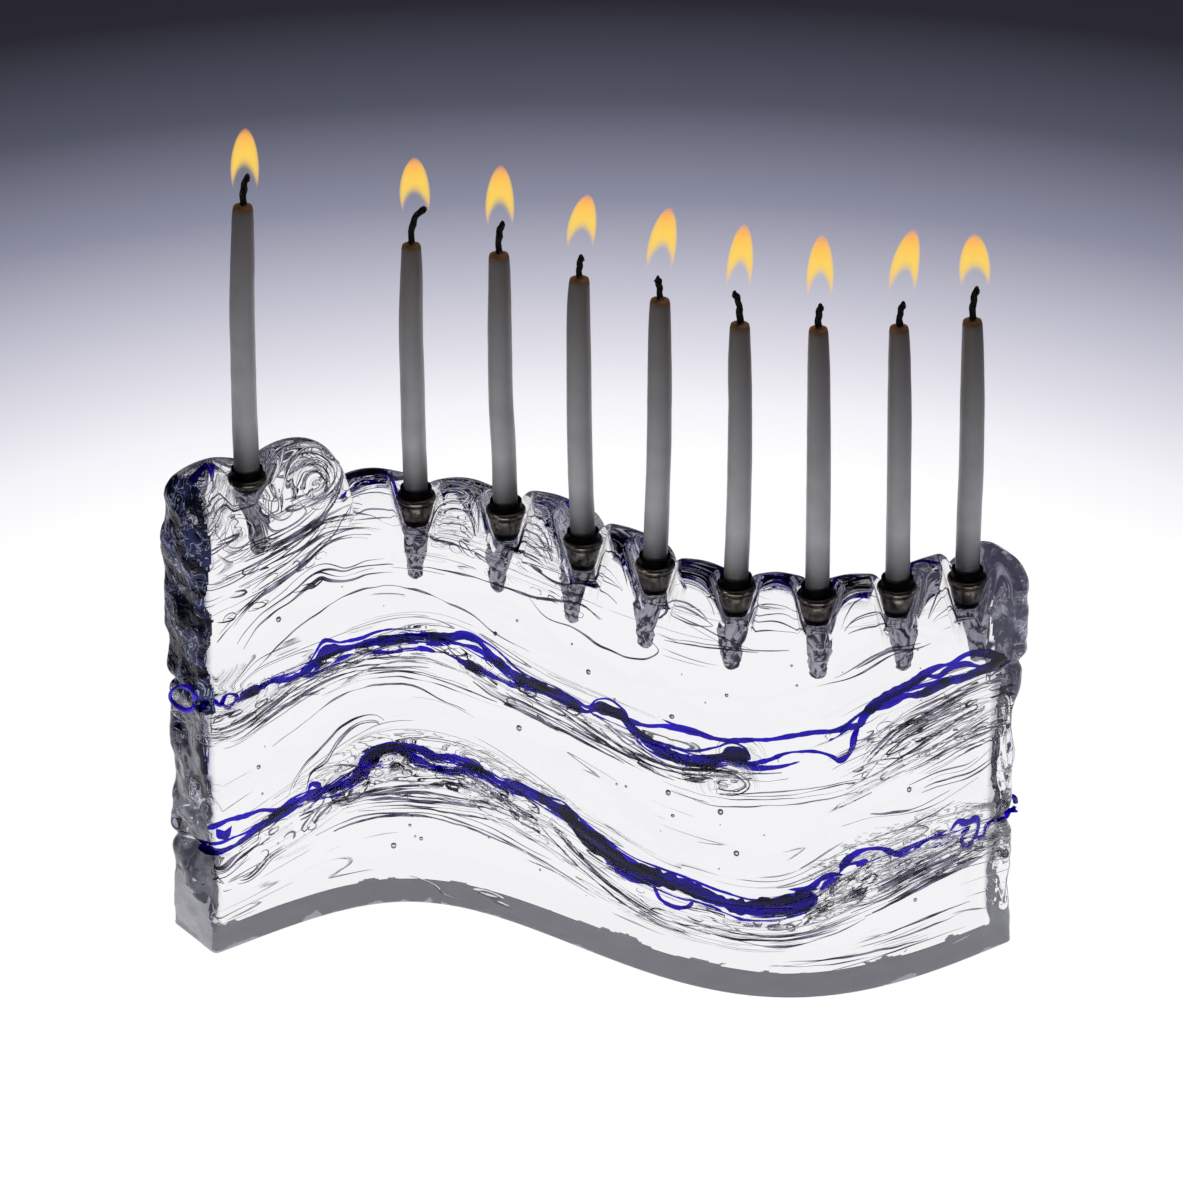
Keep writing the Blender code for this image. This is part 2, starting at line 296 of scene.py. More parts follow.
def mesh_piece(name, points, faces, finish, slot, stands_for=(), body="root", smooth=True, **attributes):
    """A piece made of points and faces, with a value at each point for each of its attributes."""
    mesh = bpy.data.meshes.new(name)
    mesh.vertices.add(len(points))
    mesh.vertices.foreach_set("co", np.asarray(points, np.float32).ravel())
    mesh.loops.add(faces.size)
    mesh.loops.foreach_set("vertex_index", faces.ravel().astype(np.int32))
    mesh.polygons.add(len(faces))
    mesh.polygons.foreach_set("loop_start", np.arange(0, faces.size, faces.shape[1], dtype=np.int32))
    mesh.update(calc_edges=True)
    mesh.validate()
    if smooth:
        mesh.shade_smooth()
    for attribute, values in attributes.items():
        kind, field = ("FLOAT", "value") if values.ndim == 1 else ("FLOAT_VECTOR", "vector")
        layer = mesh.attributes.new(attribute, kind, "POINT")
        layer.data.foreach_set(field, values.astype(np.float32).ravel())
    mesh.materials.append(finish.material)
    piece = bpy.data.objects.new(name, mesh)
    scene.collection.objects.link(piece)
    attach(piece, body)
    if stands_for:
        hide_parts(*stands_for)
    return piece


def ring_faces(rings, sides):
    """Quads between following rings of the same number of points."""
    i = np.arange(rings - 1)[:, None] * sides
    j = np.arange(sides)[None, :]
    k = (j + 1) % sides
    return np.stack([i + j, i + k, i + sides + k, i + sides + j], axis=-1).reshape(-1, 4)


def round_rings(middle, radius, depth, height, angle):
    """Level rings of points: each has its own middle in x, half width, half depth and height."""
    return np.stack([middle[:, None] + radius[:, None] * np.cos(angle),
                     depth[:, None] * np.sin(angle), height[:, None] + 0 * angle], axis=-1)


def tube(path, radii, sides, twist=0.0, flatten=1.0, ridges=0, ridge_depth=0.0):
    """A closed tube round a path: returns its points and triangles."""
    tangent = np.gradient(path, axis=0)
    tangent /= np.linalg.norm(tangent, axis=1)[:, None]
    side = np.cross(tangent, (0.02, 1.0, 0.03))
    side /= np.linalg.norm(side, axis=1)[:, None]
    other = np.cross(tangent, side)
    angle = np.linspace(0, 2 * np.pi, sides, endpoint=False)
    turn = twist * np.arange(len(path))[:, None]
    swell = 1 + ridge_depth * np.cos(ridges * (angle[None, :] + turn))
    across = np.cos(angle)[None, :, None] * side[:, None, :]
    deep = np.sin(angle)[None, :, None] * other[:, None, :] * flatten
    rings = path[:, None, :] + (across + deep) * (radii[:, None] * swell)[:, :, None]
    return close_ends(rings.reshape(-1, 3), ring_faces(len(path), sides), sides)


def close_ends(points, faces, sides):
    """Splits the quads and closes the first and last ring with a fan of triangles to a middle point."""
    count = len(points)
    points = np.vstack([points, points[:sides].mean(axis=0), points[-sides:].mean(axis=0)])
    j = np.arange(sides)
    k = (j + 1) % sides
    first_fan = np.stack([k, j, np.full(sides, count)], axis=-1)
    last_fan = np.stack([count - sides + j, count - sides + k, np.full(sides, count + 1)], axis=-1)
    return points, np.concatenate([faces[:, [0, 1, 2]], faces[:, [0, 2, 3]], first_fan, last_fan])


def turned(profile, sides):
    """A closed turned shape: profile is (radius, height) with both ends on the axis."""
    angle = np.linspace(0, 2 * np.pi, sides, endpoint=False)
    radius, height = profile[1:-1].T
    rings = round_rings(0 * radius, radius, radius, height, angle)
    points, faces = close_ends(rings.reshape(-1, 3), ring_faces(len(radius), sides)[:, ::-1], sides)
    points[-2] = (0, 0, profile[0, 1])
    points[-1] = (0, 0, profile[-1, 1])
    return points, faces


def joined(parts):
    """Several shapes as one, with their point values: each part is its points, faces and values."""
    points, faces, *values = zip(*parts)
    starts = np.cumsum([0] + [len(shape) for shape in points[:-1]])
    faces = np.vstack([shape + start for shape, start in zip(faces, starts)])
    return np.vstack(points), faces, *(np.concatenate(value) for value in values)


def follow(route, pitch, start=0.0, end=1.0):
    """A smooth line through a route's points in millimetres, from one share of its length to another.

    Returns the distances along it and its values there, such as x, height and radius.
    """
    route = np.array(route, float) * MM
    lengths = np.concatenate([[0], np.cumsum(np.linalg.norm(np.diff(route[:, :2], axis=0), axis=1))])
    span = lengths[-1] * (end - start)
    along = lengths[-1] * start + np.linspace(0, span, max(8, int(span / pitch)))
    return along, smooth_curve(np.column_stack([lengths, route]), along).T


# The cast glass

CELLS = (520, 340, 40)
CROWN_ROUNDING = 12 * MM
DIP_ROUNDING = 3.5 * MM
END_ROUNDING = 4.5 * MM
BASE_ROUNDING = 1.2 * MM

# The notch each cup stands in: depth below the bead, rise of its floor to the front, slope of its walls
CUP_NOTCH = (12.3 * MM, 0.30, 3.6)
SHAMASH_NOTCH = (4.5 * MM, 0.05, 1.6)
NOTCH_FLOOR_RADIUS = 4.3 * MM

# Irregularities of the glass, from broad to rough
SLOW, FINE, WARP, ROUGH = Grain(3), Grain(5), Grain(8), Grain(13)


def lattice_shell():
    """The surface of a block of cells: places as shares of each side, and quads facing out."""
    grid = np.indices([n + 1 for n in CELLS])
    outside = np.zeros(grid.shape[1:], bool)
    for axis, n in enumerate(CELLS):
        outside |= (grid[axis] == 0) | (grid[axis] == n)
    index = np.full(outside.shape, -1)
    index[outside] = np.arange(outside.sum())
    shares = np.stack([grid[axis][outside] / n for axis, n in enumerate(CELLS)], axis=-1)
    quads = []
    for axis in range(3):
        for far in (False, True):
            sheet = np.take(index, -1 if far else 0, axis=axis)
            corners = np.stack([sheet[:-1, :-1], sheet[1:, :-1], sheet[1:, 1:], sheet[:-1, 1:]],
                               axis=-1).reshape(-1, 4)
            flip = far != (axis == 1)
            quads.append(corners[:, ::-1] if flip else corners)
    return shares, np.concatenate(quads)


def top_of_glass(x, offset):
    """The height of the crown at a place on the slab's plan, with the notches its cups stand in."""
    top = crown_height(x)
    place = on_wave(x, offset, top)
    for name, rim in RIMS.items():
        depth, floor_rise, wall_slope = SHAMASH_NOTCH if name == "shamash" else CUP_NOTCH
        away_x, away_y = place[..., 0] - rim.x, place[..., 1] - rim.y
        away = np.hypot(away_x, np.maximum(away_y, 0))
        floor = rim.z - depth + np.maximum(-away_y, 0) * floor_rise
        limit = floor + np.maximum(away - NOTCH_FLOOR_RADIUS, 0) * wall_slope
        gap = np.clip(0.5 + (limit - top) / (5 * MM), 0, 1)
        top = limit * (1 - gap) + top * gap - 2.5 * MM * gap * (1 - gap)
    return top


def crown_rounding(x):
    """The rounding of the crown's edges, tighter beside the cups."""
    rounding = CROWN_ROUNDING + 0 * x
    for name in CANDLE_NAMES[1:]:
        near = np.exp(-((x - RIMS[name].x) / (6 * MM)) ** 2)
        rounding = rounding - (CROWN_ROUNDING - DIP_ROUNDING) * near
    return np.maximum(rounding, DIP_ROUNDING)


def in_span(value, low, high, soft):
    """1 inside low to high, fading to 0 over soft on both sides."""
    return smooth_step(low - soft, low, value) * smooth_step(high + soft, high, value)


# Zones of the glass, in millimetres: strength, then x from, to and softness, then the line that it lies
# below, and how far below from, to and softness
STREAKED = [(0.9, -150, -95, 20, UPPER_SEAM, 1, 16, 5), (0.75, -95, 60, 12, UPPER_SEAM, 2, 11, 5),
            (0.75, 88, 150, 10, UPPER_SEAM, 3, 27, 5), (0.8, -120, 70, 12, LOWER_SEAM, 3, 18, 6),
            (1, 80, 150, 8, LOWER_SEAM, 2, 20, 7), (0.25, -200, 200, 9, LOWER_SEAM, 18, 60, 6),
            (0.7, -60, 5, 10, CROWN_LINE, -5, 22, 8)]
CRUMPLED = [(1, -100, -12, 9, LOWER_SEAM, 4.5, 13, 2), (1, 80, 95, 5, LOWER_SEAM, 2, 13, 3),
            (0.6, 92, 146, 6, LOWER_SEAM, 1, 8, 3)]


def strongest(zones, x, height):
    """The strongest of the zones at each place, 0 to 1."""
    found = 0 * x
    for strength, from_x, to_x, soft_x, line, from_depth, to_depth, soft in zones:
        depth = (smooth_curve(line, x) - height) / MM
        zone = in_span(x / MM, from_x, to_x, soft_x) * in_span(depth, from_depth, to_depth, soft)
        found = np.maximum(found, strength * zone)
    return found


def streaks_of(x, height):
    """How streaked the glass is at each place, most of all in the shamash's shoulder."""
    depth = (smooth_curve(CROWN_LINE, x) - height) / MM
    slanted = 36 - (x / MM + 146) * 0.35
    shoulder = in_span(x / MM, -146, -92, 12) * in_span(depth, -12, slanted, 10)
    return np.maximum(strongest(STREAKED, x, height), np.maximum(shoulder, 0.06))


def flow_height(x, height):
    """A height that is constant along the lines in which the glass flowed."""
    low = smooth_curve(LOWER_SEAM, x)
    high = smooth_curve(UPPER_SEAM, x)
    share_high = np.clip((height - high) / (smooth_curve(CROWN_LINE, x) - high), 0, 1.4)
    spread = 1 + 1.5 * smooth_step(-148 * MM, -55 * MM, x)
    share_high = share_high ** spread
    in_low = height / low * 50 * MM
    in_middle = 50 * MM + (height - low) / (high - low) * 56 * MM
    in_high = 106 * MM + share_high * 62 * MM
    flow = np.where(height < low, in_low, np.where(height < high, in_middle, in_high))
    for eye_x, eye_z, reach in ((-132, 169, 15), (-104, 179, 12), (-136, 108, 7), (52, 86, 7)):
        away = np.hypot(x - eye_x * MM, height - eye_z * MM) / (reach * MM)
        near = np.exp(-away ** 2 * 0.8)
        flow = flow * (1 - near) + near * (140 * MM + away * 24 * MM)
    return flow


def rounded_block():
    """The plain slab: x, offset and height of each point, its outward direction, and the quads."""
    shares, quads = lattice_shell()
    x = (shares[:, 0] * 2 - 1) * END_X
    offset = (shares[:, 2] - 0.5) * THICKNESS
    top = top_of_glass(x, offset)
    height = shares[:, 1] * top

    # The rounding of each edge at each point
    round_z_top = crown_rounding(x)
    near_top = smooth_step(34 * MM, 12 * MM, top - height)
    near_base = smooth_step(12 * MM, 3 * MM, height)
    round_off = END_ROUNDING + (round_z_top - END_ROUNDING) * near_top
    round_off = round_off + (2 * MM - round_off) * near_base
    round_x = END_ROUNDING / np.sqrt(1 + wave_slope(x) ** 2) * (1 - 0.5 * near_base)

    # Each point is drawn towards an inner block, by shares of the rounding
    core_x = np.clip(x, -END_X + round_x, END_X - round_x)
    core_off = np.clip(offset, -THICKNESS / 2 + round_off, THICKNESS / 2 - round_off)
    core_z = np.clip(height, BASE_ROUNDING, top - round_z_top)
    round_z = np.where(height > core_z, round_z_top, BASE_ROUNDING)
    pull = np.stack([(x - core_x) / round_x, (offset - core_off) / round_off,
                     (height - core_z) / round_z], axis=-1)
    pull /= np.maximum(np.linalg.norm(pull, axis=1), 1e-9)[:, None]
    outward = pull / np.stack([np.full_like(x, END_ROUNDING), round_off, round_z], axis=-1)
    outward /= np.linalg.norm(outward, axis=1)[:, None]
    return (core_x + pull[:, 0] * round_x, core_off + pull[:, 1] * round_off,
            core_z + pull[:, 2] * round_z, outward, quads)


def relief_of(x, offset, height, outward, flow, streaked, crumpled):
    """How far the skin stands out: slow waves, ridges along the flow, crusts, pinched seams, rough ends."""
    ends, face, crown = np.abs(outward[:, 0]), np.abs(outward[:, 1]), np.clip(outward[:, 2], 0, 1)
    relief = 0.25 * MM * SLOW(x * 34, height * 45, offset * 40)
    broad = FINE(x * 11 + 7, flow * 230, offset * 45)
    sharp = 1 - np.abs(FINE(x * 17, flow * 170 + 9, offset * 50)) * 2.4
    relief += streaked ** 1.4 * face * (0.26 * MM * broad + 0.20 * MM * sharp)
    crumple = ROUGH(x * 210, height * 420, offset * 200) + 0.5 * ROUGH(x * 430, height * 820, 5)
    relief += crumpled * face * 0.42 * MM * crumple
    relief += crown * 0.5 * MM * SLOW(x * 60, height * 50, offset * 60 + 5)
    relief += crown * 0.12 * MM * FINE(x * 50, (height + offset) * 170, offset * 50)
    lumps = ROUGH(x * 60, height * 75, offset * 85) + 0.36 * ROUGH(x * 60, height * 190, offset * 170)
    lumps += 0.08 * ROUGH(x * 60, height * 520, offset * 460)
    relief += ends * (1.9 * MM * lumps)
    relief += ends * smooth_step(96 * MM, 108 * MM, height) * np.where(x > 0, 3.6, 1.3) * MM
    at_end = smooth_step(END_X - 12 * MM, END_X, np.abs(x))
    for seam in (LOWER_SEAM, UPPER_SEAM):
        pinch = np.exp(-((height - smooth_curve(seam, x)) / (1.6 * MM + 1.2 * MM * at_end)) ** 2)
        relief -= (0.3 * MM + 2.4 * MM * at_end) * pinch
    on_base = smooth_step(2.5 * MM, 0.3 * MM, height)
    return relief * (1 - on_base)


def ground_zone(points, x, offset, height, ends):
    """Where the base was ground: a ragged band along the foot that climbs at the ends."""
    edge = FINE(x * 75, height * 300, offset * 40) + 0.6 * FINE(x * 260, height * 420, offset * 60)
    edge = (0.5 + 3.4 * np.maximum(edge, 0)) * MM
    edge += ends ** 4 * (15 - 50 * x + 5 * ROUGH(x * 90, height * 90, offset * 160)) * MM
    return points[:, 2] < edge


def smeared_zone(x, offset, height, ends):
    """Where cobalt was smeared over the ends, above the upper seam."""
    torn = 0.55 + 0.5 * ROUGH(x * 70, height * 130, offset * 130)
    return (ends > torn) & (height > 101 * MM + 5 * MM * ROUGH(1, height * 9, offset * 90))


def stain_of(x, offset, height):
    """Where blue reflection is painted behind the sides of the crown's lobes, 0 to 1."""
    blue_reflection = np.zeros_like(x)
    for lobe_x, lobe_z, radius in crown_lobes():
        side = in_span((x - lobe_x) / radius, 0.15, 0.9, 0.25)
        blue_reflection = np.maximum(blue_reflection, side * smooth_step(-0.6, 0.1, (height - lobe_z) / radius))
    patches = smooth_step(-0.25, 0.25, ROUGH(x * 90, height * 90, 9))
    return blue_reflection * smooth_step(-11 * MM, 2 * MM, offset) * patches


def clear_glass_finish():
    glass = Finish("clear_cast_glass", Roughness=0.0, IOR=1.5, Transmission_Weight=1.0,
                   Specular_Tint=rgb(0.3, 0.3, 0.36))
    flow = glass.attribute("flow", "Vector")
    streaked = glass.attribute("streaked")
    crumpled = glass.attribute("crumpled")
    place = glass.place()
    drift = glass.noise(glass.stretched(flow, (9, 120, 30)), detail=1, distortion=0.35)
    gate = glass.noise(glass.stretched(flow, (22, 70, 30)), detail=1)
    long_line = drift.contours(5).step(0.91, 0.99) * (gate + streaked * 0.3).step(0.62, 0.72)
    crowd = glass.noise(glass.stretched(flow, (16, 260, 40)), detail=1, distortion=0.5)
    crowded = crowd.contours(4).step(0.86, 0.98) * streaked.step(0.55, 1.0)
    crackle = glass.noise(glass.stretched(place, (70, 90, 420)), detail=2, distortion=0.8)
    cracked = crackle.contours(5).step(0.80, 0.97) * crumpled * 0.7
    line = 1 - (1 - long_line) * (1 - crowded * 0.55) * (1 - cracked)
    tinted = glass.mix(line * 0.85, rgb(0.89, 0.89, 0.91), rgb(0.11, 0.10, 0.15))
    grime = glass.noise(place, scale=110, detail=3, distortion=0.5)
    slate = glass.mix(grime.step(0.42, 0.60), rgb(0.05, 0.05, 0.10), rgb(0.50, 0.50, 0.62))
    grey = glass.mix(grime.step(0.40, 0.62), rgb(0.05, 0.048, 0.08), rgb(0.38, 0.37, 0.44))
    left = glass.mix(glass.attribute("left_skin") * 0.96, tinted, slate)
    both = glass.mix(glass.attribute("right_skin") * 0.9, left, grey)
    # Painted blue reflection on the crown's lobes, mixed in by its mask
    blue = glass.mix(grime.step(0.42, 0.58), rgb(0.05, 0.07, 0.34), rgb(0.50, 0.55, 0.85))
    stained = glass.mix(glass.attribute("stained") * 0.85, both, blue)
    height = grime * crumpled * 0.6 - line
    glass.drive(Base_Color=stained, Normal=glass.bump(height, 0.4 * MM))
    return glass


def smeared_end_finish(name, deep, middle, pale, glow):
    """An end above the upper seam, where cobalt was smeared over the lumpy skin, with painted glints along
    its cracks and a painted glow.
    """
    # glow is a painted glow: the skin emits its own colour
    skin = Finish(name, IOR=1.5, Specular_IOR_Level=0.16, Emission_Strength=glow)
    place = skin.place()
    smear = skin.noise(place, scale=95, detail=4, roughness=0.6, distortion=0.8)
    crack = skin.noise(place, scale=210, detail=2, distortion=1.2)
    line = crack.contours(3).step(0.86, 1.0)
    dark = skin.mix(smear.step(0.48, 0.66), deep, middle)
    # Pale lines along the cracks are painted glints
    end_skin_with_painted_glints = skin.mix(line * smear.step(0.45, 0.55), dark, pale)
    skin.drive(Base_Color=end_skin_with_painted_glints, Emission_Color=end_skin_with_painted_glints, Roughness=0.10 + smear * 0.25,
               Normal=skin.bump(crack, 1.5 * MM))
    return skin


def ground_base_finish():
    # The ground face glows with its own colour, a painted glow, and its grey is partly the frosted tone and
    # partly painted shade
    ground = Finish("ground_base", IOR=1.5, Emission_Strength=0.46)
    grit = ground.noise(ground.place(), scale=2200, detail=3)
    cloud = ground.noise(ground.place(), scale=90, detail=2)
    colour = ground.mix(cloud, rgb(0.29, 0.29, 0.32), rgb(0.37, 0.37, 0.40))
    speckled = ground.mix(grit.step(0.52, 0.66) * 0.5, colour, rgb(0.17, 0.165, 0.20))
    ground.drive(Base_Color=speckled, Emission_Color=speckled, Roughness=0.75 + grit * 0.2,
                 Normal=ground.bump(grit, 0.08 * MM))
    return ground


def make_glass():
    x, offset, height, outward, quads = rounded_block()
    ends = np.abs(outward[:, 0])
    flow = flow_height(x, height)
    bend = WARP(x * 22, height * 30, offset * 30) * 4 * MM
    streaked, crumpled = streaks_of(x, height), strongest(CRUMPLED, x, height)
    relief = relief_of(x, offset, height, outward, flow + bend, streaked, crumpled)
    along, back = wave_axes(x)
    push = along * outward[:, :1] + back * outward[:, 1:2]
    push[:, 2] += outward[:, 2]
    points = on_wave(x, offset, height) + push * relief[:, None]
    points[:, 2] = np.maximum(points[:, 2], 0)
    skin = smooth_step(0.35, 0.8, ends) * smooth_step(6 * MM, 14 * MM, height)
    glass = mesh_piece("cast_glass_wave", points, quads, clear_glass_finish(), "clear_glass",
                       ["lower_pour", "middle_pour", "upper_pour"],
                       flow=np.stack([x, flow + bend * 0.5, offset], axis=-1),
                       streaked=streaked, crumpled=crumpled, stained=stain_of(x, offset, height),
                       left_skin=skin * (x < 0), right_skin=skin * (x > 0))

    # Three more finishes on some of its faces: 1 the ground base, 2 the left end, 3 the right end
    # For each end: its dark and middle colours, the colour of its painted glints, and the strength of its
    # painted glow
    navy = smeared_end_finish("navy_end", rgb(0.003, 0.004, 0.014), rgb(0.032, 0.042, 0.16),
                              rgb(0.62, 0.66, 0.85), 0.12)
    violet = smeared_end_finish("violet_end", rgb(0.13, 0.125, 0.19), rgb(0.50, 0.49, 0.60),
                                rgb(0.9, 0.9, 0.97), 0.26)
    for finish in (ground_base_finish(), navy, violet):
        glass.data.materials.append(finish.material)
    which = smeared_zone(x, offset, height, ends) * np.where(x < 0, 2, 3)
    which = np.where(ground_zone(points, x, offset, height, ends), 1, which)
    glass.data.polygons.foreach_set("material_index", which[quads].min(axis=1).astype(np.int32))
    glass.data.update()


# Cobalt trails. Each strand: depth behind the front face, then x, height and radius, in millimetres

# A strand that is anywhere thicker than this has stray threads
THICK_STRAND = 2.7
UPPER_LEFT = [
    (3, [(-146, 101, 1.4), (-142, 104.5, 1.2), (-139, 101, 1), (-136.5, 105, 0.8), (-133.5, 102.5, 0.8),
         (-136.5, 99.5, 0.7), (-139, 102.5, 0.7)]),
    (2.5, [(-134, 100.5, 0.4), (-131, 102.6, 1.5), (-127, 103, 2.2), (-124.5, 103.5, 0.6)]),
    (3, [(-126, 102, 0.3), (-122, 104, 1), (-115, 102.6, 1.2), (-110, 103, 1.6), (-105, 106.4, 1.5),
         (-101, 109, 2.9), (-94, 108.8, 1.6), (-86, 109.5, 1.9), (-79, 110, 2), (-71, 110.4, 2),
         (-63, 111, 1.9), (-55, 111.6, 1.6), (-48, 112.6, 1.4), (-40, 114, 1.2), (-35, 112.8, 1.2),
         (-30, 109.9, 1.4), (-25.5, 106.2, 1.6), (-18, 102.8, 1.8), (-11, 102.2, 1.9), (-4, 101.4, 2.2),
         (1.6, 99.6, 2), (5.5, 98.9, 1), (9, 102, 1.9), (13, 103, 2.6), (18, 102.4, 1.9), (20.5, 99.6, 1.5),
         (25.5, 96.5, 2.1), (31, 94.3, 2.6), (37, 92.7, 2.7), (43, 93.5, 2.8), (48, 95.6, 2.6),
         (53, 98, 3.4), (56, 98.4, 3.2), (58.5, 97.4, 1.6)]),
    (4.5, [(-58, 108, 0.6), (-47, 109.8, 1.1), (-42, 109.9, 1), (-36, 109.4, 1), (-30, 107, 0.9),
         (-25, 104, 0.6)]),
    (3.5, [(-50, 106, 0.3), (-44, 104.2, 0.6), (-39.7, 102.6, 1.9), (-35, 101.4, 2.5), (-31, 100.4, 1.7),
         (-25.5, 99.8, 0.9), (-20.5, 99.2, 1.3), (-17, 101.5, 0.8)]),
    (4, [(-112, 102.4, 0.3), (-106, 101.6, 0.9), (-102.5, 105.6, 0.8)]),
    (4.5, [(-107, 101.2, 0.3), (-100, 102, 0.9), (-94, 104.6, 0.7), (-89, 105.5, 0.3)]),
    (4, [(-88, 105, 0.3), (-80, 105.4, 0.9), (-74, 104.8, 0.7), (-66, 105.6, 1), (-59, 106.4, 1.1),
         (-53, 105.2, 0.5)])]
UPPER_RIGHT = [
    (3, [(12, 101.6, 0.3), (20, 101.8, 1.1), (26, 102.2, 0.8), (32.5, 104.2, 1), (37, 104.4, 1),
         (43, 104.1, 1), (50, 103.8, 1.1), (60, 105.6, 1), (70, 108, 1), (76.6, 109.2, 0.9),
         (83, 109.3, 0.9), (87, 110.2, 1), (90.5, 110.6, 1.3), (91.5, 113.2, 1.3), (93.5, 116.2, 1.9),
         (97, 119, 2.2), (102, 121.4, 2.1), (107, 123, 1.7), (112, 125.6, 1.8), (115, 126.4, 1.4),
         (120, 126.2, 1.1), (126, 127.1, 1.5), (131.5, 125.2, 1.6), (135, 123, 2.3), (138, 119, 2.6),
         (141, 117.6, 1.6)]),
    (3.5, [(31, 106.8, 0.2), (36, 105.6, 0.8), (42, 105.4, 0.8), (46, 105.2, 0.3)]),
    (4, [(50, 96, 0.8), (57.5, 95.4, 0.9), (64, 97.4, 0.8), (68.7, 100.4, 0.8), (74, 101.4, 0.7),
         (78, 101, 0.7), (82, 99, 0.8), (85, 96.6, 1.2), (88, 100, 1), (89, 105, 1), (90.5, 110, 1)]),
    (4, [(52, 94.4, 0.5), (60, 93.8, 1), (67, 94.8, 0.8), (73, 97, 0.3)]),
    (4, [(91, 113, 0.8), (94, 115, 1.1), (99, 116.3, 1.6), (105, 118, 1.3), (110, 117.2, 1.6),
         (114, 117.5, 1.7), (118, 118.6, 1.9), (122, 118, 1.3), (128, 118.2, 1.8), (133, 118.4, 2),
         (138, 117.8, 2.2), (143, 117, 1.4)]),
    (5, [(98, 118, 0.7), (106, 120.2, 1), (112, 123.4, 0.8), (116, 121.6, 0.9), (120, 123.4, 1.1),
         (125, 123.3, 1.1), (129, 120.6, 0.9), (132, 119, 0.5)])]
UPPER_BACK = [
    (24, [(-120, 98, 0.4), (-98, 100, 0.8), (-70, 103, 0.7), (-40, 101, 0.8), (-20, 94, 1), (8, 91, 0.8),
         (40, 87, 1), (62, 88, 0.4)]),
    (23, [(84, 98, 0.4), (96, 108, 0.8), (112, 113, 0.9), (130, 112, 0.8), (140, 111, 0.4)])]
LOWER_FRONT = [
    (3, [(-147, 47, 1.4), (-144, 43, 1.6), (-141.5, 41.5, 1.8), (-136, 42, 1.4), (-131.5, 43.4, 1),
         (-127.5, 45.6, 1), (-123, 46.4, 1.1), (-118.5, 49, 1.4), (-114.5, 50.8, 1.5), (-110, 51.6, 1.8),
         (-105, 52.2, 1.8), (-99, 52.1, 1.6), (-93.7, 52.9, 1.8), (-89.5, 55.2, 1.9), (-85.5, 58, 2.5),
         (-81.5, 62, 2.9), (-77, 64.6, 2.3), (-72, 64.8, 1.6), (-67.5, 63, 1.5), (-63, 60.6, 1.4),
         (-58, 58.2, 1.5), (-52.5, 56.6, 1.6), (-47, 56.8, 1.5), (-41, 58, 1.3), (-36, 59, 1.4),
         (-32, 58.6, 1.3), (-26, 57, 1.4), (-20.5, 57.2, 2), (-15, 57.1, 1.6), (-9, 56.2, 1.7),
         (-3.5, 55.3, 2.2), (0.8, 51.6, 2.5), (4.5, 47.6, 3.6), (12.5, 44.6, 3.3), (20.5, 41, 3.5),
         (30, 40.1, 3.8), (37.5, 40.2, 4), (45, 38.6, 3.2), (50, 37.2, 2.8), (56, 35.8, 3.8),
         (62.5, 36.4, 4.3), (69, 37.3, 4.6), (73, 38.4, 3.4), (75.5, 40, 3.9), (79, 41.6, 2.2)]),
    (2.5, [(-88.5, 58, 0.5), (-87.2, 62, 0.9), (-84.5, 64.8, 0.8), (-81.5, 66, 0.9), (-75.4, 66.9, 1.1),
         (-68, 65.8, 1.7), (-60.5, 64.1, 2.1), (-53, 61.8, 1.7), (-48.5, 62.7, 1.5), (-41, 62.6, 1.7),
         (-36, 60.8, 1.8), (-31, 58.4, 0.8)]),
    (4, [(-143.5, 52, 1.8), (-138, 53.2, 0.9), (-132, 52.2, 1.3), (-126, 52, 0.9), (-121, 50, 0.9),
         (-117, 50, 0.4)]),
    (3.5, [(-141, 51, 1), (-139, 47.6, 1.6), (-136.5, 50.6, 0.7)]),
    (4.5, [(-122, 45, 0.3), (-117, 46.4, 0.8), (-111, 48.6, 0.6), (-106, 49.2, 0.3)]),
    (3.5, [(-109, 53, 0.4), (-107, 56.4, 1), (-105, 55.4, 1.3), (-103.5, 53, 0.5)]),
    (4.5, [(3, 45.4, 0.6), (10, 42.2, 1.1), (15, 38.4, 1.3), (20, 36.2, 1.3), (25, 36.6, 1.1),
         (30, 37.8, 0.9)]),
    (3.5, [(28.5, 36.6, 0.8), (31, 31.6, 0.9), (35, 30.4, 0.9), (39.5, 31.8, 0.9), (41.5, 35.4, 1)]),
    (3, [(70, 44.6, 0.3), (77, 45.6, 1.4), (80, 48.9, 1.1), (84, 50.2, 1.1), (86.8, 49.8, 0.3)]),
    (3.5, [(79.5, 44, 0.9), (82, 47, 1.1), (85.5, 49.2, 0.5)]),
    (3, [(85.3, 50.8, 0.9), (87.5, 55.9, 1.6), (90, 57.9, 1.7), (94, 58.5, 1), (99, 57.2, 1),
         (103, 54.1, 1.8), (108, 55.3, 1), (113.5, 56.3, 1.1), (118, 56.8, 0.9), (120.5, 57.6, 0.3)]),
    (3.5, [(121, 56, 0.6), (124, 59.4, 1), (127.5, 57.2, 2.2), (130.5, 57.8, 1.4), (131, 52.2, 1),
         (127, 47.4, 1), (125.5, 52.4, 0.9), (128.5, 55, 0.9)]),
    (3, [(129.5, 50, 0.8), (132.5, 49, 1.2), (134.5, 53.4, 0.9), (138, 54, 1.1), (141, 52, 1.3),
         (144, 54.4, 1.2), (147, 52.6, 1.2)])]
LOWER_BACK = [
    (24, [(-118, 41, 0.4), (-90, 47, 0.8), (-66, 55, 0.9), (-38, 50, 0.8), (-6, 44, 1.2), (30, 31, 1.3),
         (60, 30, 1), (80, 36, 0.4)]),
    (23, [(88, 46, 0.4), (104, 47, 0.9), (125, 46, 0.9), (138, 44, 0.5)])]
